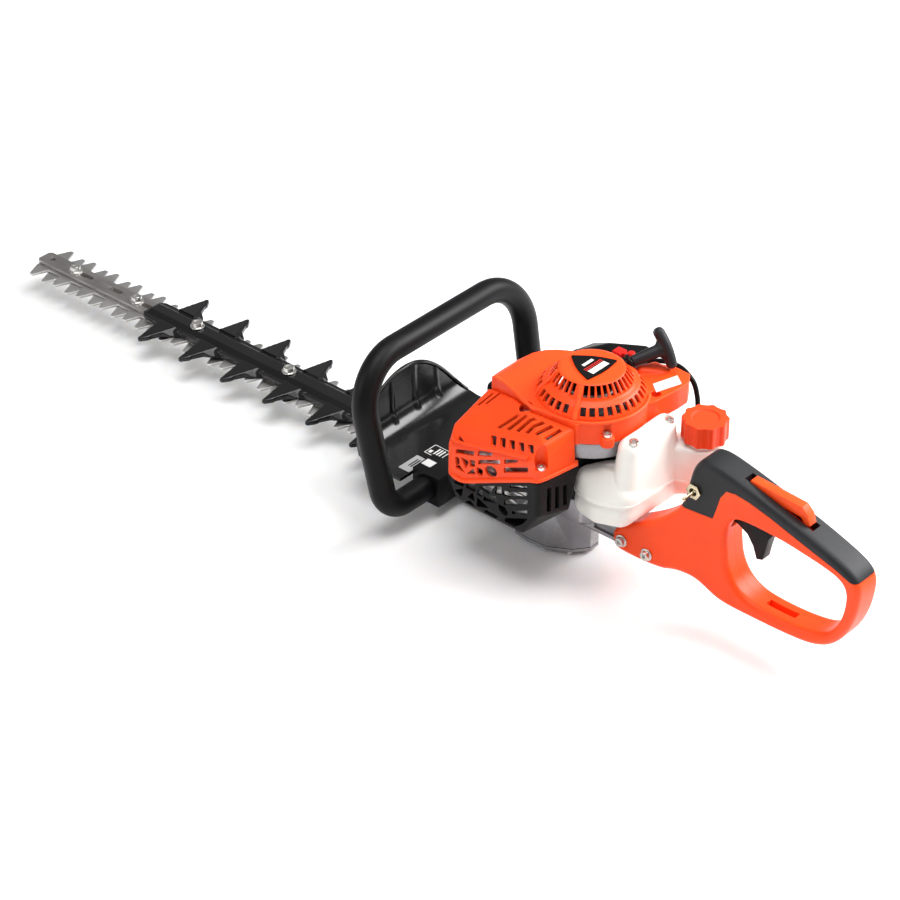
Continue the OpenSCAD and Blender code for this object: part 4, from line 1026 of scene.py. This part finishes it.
def starter():
    """A bowed T-handle on its stem, and the rope that stretches from the housing to it."""
    head_dir = Vector((0.592, -0.104, -0.8)).normalized()
    stem = rod("stem", ROPE_START + ROPE_DIR * 5, ROPE_START + ROPE_DIR * 38, 5.0, 6.6)
    across = ROPE_DIR.cross(head_dir).normalized()
    centre = ROPE_START + ROPE_DIR * 39.5
    points = []
    for s in range(-4, 5):
        t = s / 4
        mid = centre + head_dir * 15.4 * t - ROPE_DIR * 1.2 * t * t
        wide = 9.6 - 1.6 * t * t
        points.append((mid, wide))
    bar = None
    for (p, w), (q, v) in zip(points, points[1:]):
        ends = [p - ROPE_DIR * 0.4 + across * (w - 5), p - across * (w - 5),
                q + across * (v - 5), q - across * (v - 5)]
        seg = hull("seg", cloud([(c, 5) for c in ends], 12))
        bar = seg if bar is None else cut(bar, [seg], "UNION", "EXACT")
    cut(bar, [stem], "UNION", "EXACT")
    neck = hull("neck", cloud([(centre - ROPE_DIR * 5, 7.4), (centre + head_dir * 9, 5),
                               (centre - head_dir * 9, 5)], 12))
    cut(bar, [neck], "UNION", "EXACT")
    cut(bar, [rod("rope_hole", ROPE_START, ROPE_START + ROPE_DIR * 8, 1.6)], solver="EXACT")
    melt(bar, 0.6, 5, 0.6)
    place(bar, "starter_grip", DARK_GREY, ["starter_grip"], angle=60)
    line = [ROPE_START + ROPE_DIR * (-16 + 24 * i / 60) for i in range(61)]
    strand = sweep("starter_rope_strand", line, 1.5, 12)
    strand.data.transform(TO_ROW)
    strand.data.materials.append(ROPE)
    shade(strand.data, 60)
    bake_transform(strand)
    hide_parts("starter_rope")


starter()

# ---------- throttle cable, ignition lead, air cleaner cover ----------

CABLE = [(174, 97, 132), (184, 98, 139), (198, 98, 143), (212, 95, 145), (224, 91, 144), (232, 90, 138),
         (237, 89, 126), (240, 88, 110), (247, 88, 94), (257, 87, 80), (272, 86, 67), (287, 76, 59),
         (294, 58, 56), (298, 40, 56), (302, 26, 60), (305.5, 17, 66), (309, 8, 72)]
place(tube("throttle_cable_jacket", CABLE, 2.5, 16, 8), "throttle_cable", RUBBER, ["throttle_cable"], 60)
LEAD = [(60, 4, 92), (60, 3, 99), (63, 0, 108), (70, -2, 115), (80, -2, 119), (92, 0, 121), (104, 2, 122),
        (115.5, 4, 122)]


def plug_boot():
    """The boot over the spark plug with its lead to the coil."""
    boot = rod("boot", (56, 4, 82), (82, 4, 82), 9, 8)
    cut(boot, [rod("boot_up", (60, 4, 82), (60, 4, 94), 5.5)], "UNION")
    cut(boot, [rod("boot_hole", (66, 4, 82), (84, 4, 82), 5.1)])
    melt(boot, 0.6, 4)
    cut(boot, [tube("lead", LEAD, 2.6, 12, 6)], "UNION", "EXACT")
    place(boot, "ignition_lead", RUBBER, ["ignition_lead"], angle=60)


plug_boot()


def air_cover():
    """A hollow rounded cover, open underneath and towards the engine."""
    points = cloud([((x, 101, z), 8) for x, z in ((106, 66), (106, 116), (164, 66), (164, 137))], 16)
    points += cloud([((108, 68, 125), 7), ((164, 68, 133), 7), ((138, 84, 135), 10)], 16)
    points += [(x, y, z) for x in (98, 172) for y in (86, 88) for z in (58, 118)]
    body = hull("air_cover_body", points)
    inside = [((x, y, z), 5.5) for x, z in ((107, 67), (163, 67), (107, 112), (163, 131)) for y in (70, 100)]
    cut(body, [hull("air_cover_inside", cloud(inside, 12))])
    cut(body, [cuboid("low", (90, 50, 50), (180, 84.3, 126)), cuboid("front", (90, 50, 100), (180, 60, 150))])
    melt(body, 0.8, 8, 0.5)
    cut(body, [upright("stem_hole", (155, 76), 125, 160, 3.05)], solver="EXACT")
    place(body, "air_cleaner_cover", BLACK, ["air_cleaner_cover"], angle=60)


air_cover()

# ---------- nodes that keep their CAD shape with softened edges ----------

for node, width, material in (
    ("guide_bar", 0.35, BAR), ("upper_blade", 0.35, BLADE), ("lower_blade", 0.35, BLADE),
    ("blade_bolts", 0.5, ZINC), ("blade_nuts", 0.4, ZINC),
    ("gearcase_housing", 1.2, CAST), ("gearcase_cover", 0.9, CAST), ("crankcase", 1.0, CAST),
    ("engine_cylinder", 0.5, CAST), ("muffler", 2.5, SHEET), ("carburettor", 1.0, CAST),
    ("handle_bracket", 2.5, BLACK), ("air_cleaner_case", 0.2, BLACK), ("choke_lever", 0.8, RED),
    ("primer_bulb", 0.5, RED), ("throttle_trigger", 2.2, BLACK), ("lockout_lever", 2.0, ORANGE),
    ("stop_switch", 0.4, SWITCH), ("handle_bolts", 0.45, ZINC), ("tank_screws", 0.4, ZINC),
    ("cover_screws", 0.4, ZINC), ("gearcase_screws", 0.3, ZINC), ("rope_guide", 0.5, BLACK),
    ("spark_plug", 0.4, ZINC), ("ignition_coil", 1.2, BLACK), ("flywheel", 0.5, CAST),
    ("starter_pulley", 0.5, BLACK),
):
    soften(node, width, material)

# Crankcase faces below this height take the black material; the height is in metres of the row frame
BLACK_BELOW = 0.130
crankcase = bpy.data.objects["crankcase_soft"].data
crankcase.materials.append(BLACK)
for face in crankcase.polygons:
    if face.center.z < BLACK_BELOW:
        face.material_index = 1

# The other nodes keep their CAD shape as it is and only get a material
for node, material in (
    ("gearcase_gasket", BLACK), ("upper_con_rod", MACHINED), ("lower_con_rod", MACHINED),
    ("drive_gear", MACHINED), ("eccentric_shaft", MACHINED), ("ball_bearings", ZINC),
    ("pinion_shaft", MACHINED), ("clutch_drum", MACHINED), ("clutch_shoes", CAST), ("crankshaft", MACHINED),
    ("connecting_rod", MACHINED), ("piston", CAST), ("throttle_arm", ZINC), ("air_filter", FOAM),
    ("rope_coil", ROPE), ("switch_lever", SWITCH),
):
    nodes[node].data.materials.clear()
    nodes[node].data.materials.append(material)
    shade(nodes[node].data, 35)

# ---------- stage, light, camera ----------

scene = bpy.context.scene
low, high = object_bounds()
FLOOR_GAP = 0.0005
bpy.ops.mesh.primitive_plane_add(size=40, location=(0, 0, low.z - FLOOR_GAP))
floor = bpy.context.object
floor.name = "floor"
paper = shader("floor_paper", (0.9, 0.9, 0.9), 0.9, tint=0.0, grain=0.0, glow=0.45)
floor.data.materials.append(paper)

world = bpy.data.worlds.new("studio")
scene.world = world
world.use_nodes = True
set_inputs(world.node_tree.nodes["Background"], {"Color": (1, 1, 1, 1), "Strength": 0.38})

# The point the camera looks at, the way back from it to the camera, and how far (row frame, metres)
TARGET = Vector((0.0325, 0.01436, 0.024))
BACK = Vector((0.5486, -0.6228, 0.5579)).normalized()
CAMERA_DISTANCE = 3.0924


def softbox(name, at, size, power, aim_at=(0.1, 0, 0.08)):
    """A rectangular area light at a place, turned towards aim_at."""
    light = bpy.data.lights.new(name, "AREA")
    light.shape = "RECTANGLE"
    light.size, light.size_y = size
    light.energy = power
    obj = bpy.data.objects.new(name, light)
    scene.collection.objects.link(obj)
    obj.location = at
    obj.rotation_mode = "QUATERNION"
    obj.rotation_quaternion = (Vector(at) - Vector(aim_at)).to_track_quat("Z", "Y")
    return obj


softbox("key", (0.4, -0.1, 2.4), (1.8, 1.4), 46)
softbox("side", (-1.2, -1.9, 1.3), (0.8, 1.4), 16)
softbox("guard_glow", (1.0, 1.25, 1.2), (1.4, 0.9), 60, (-0.05, 0, 0.06))

cam = bpy.data.cameras.new("camera")
cam.sensor_width = 36
cam.lens = 128
cam.clip_start, cam.clip_end = 0.05, 60
cam_obj = bpy.data.objects.new("camera", cam)
scene.collection.objects.link(cam_obj)
cam_obj.location = TARGET + BACK * CAMERA_DISTANCE
cam_obj.rotation_mode = "QUATERNION"
cam_obj.rotation_quaternion = BACK.to_track_quat("Z", "Y")
scene.camera = cam_obj
scene.view_settings.view_transform = "Standard"
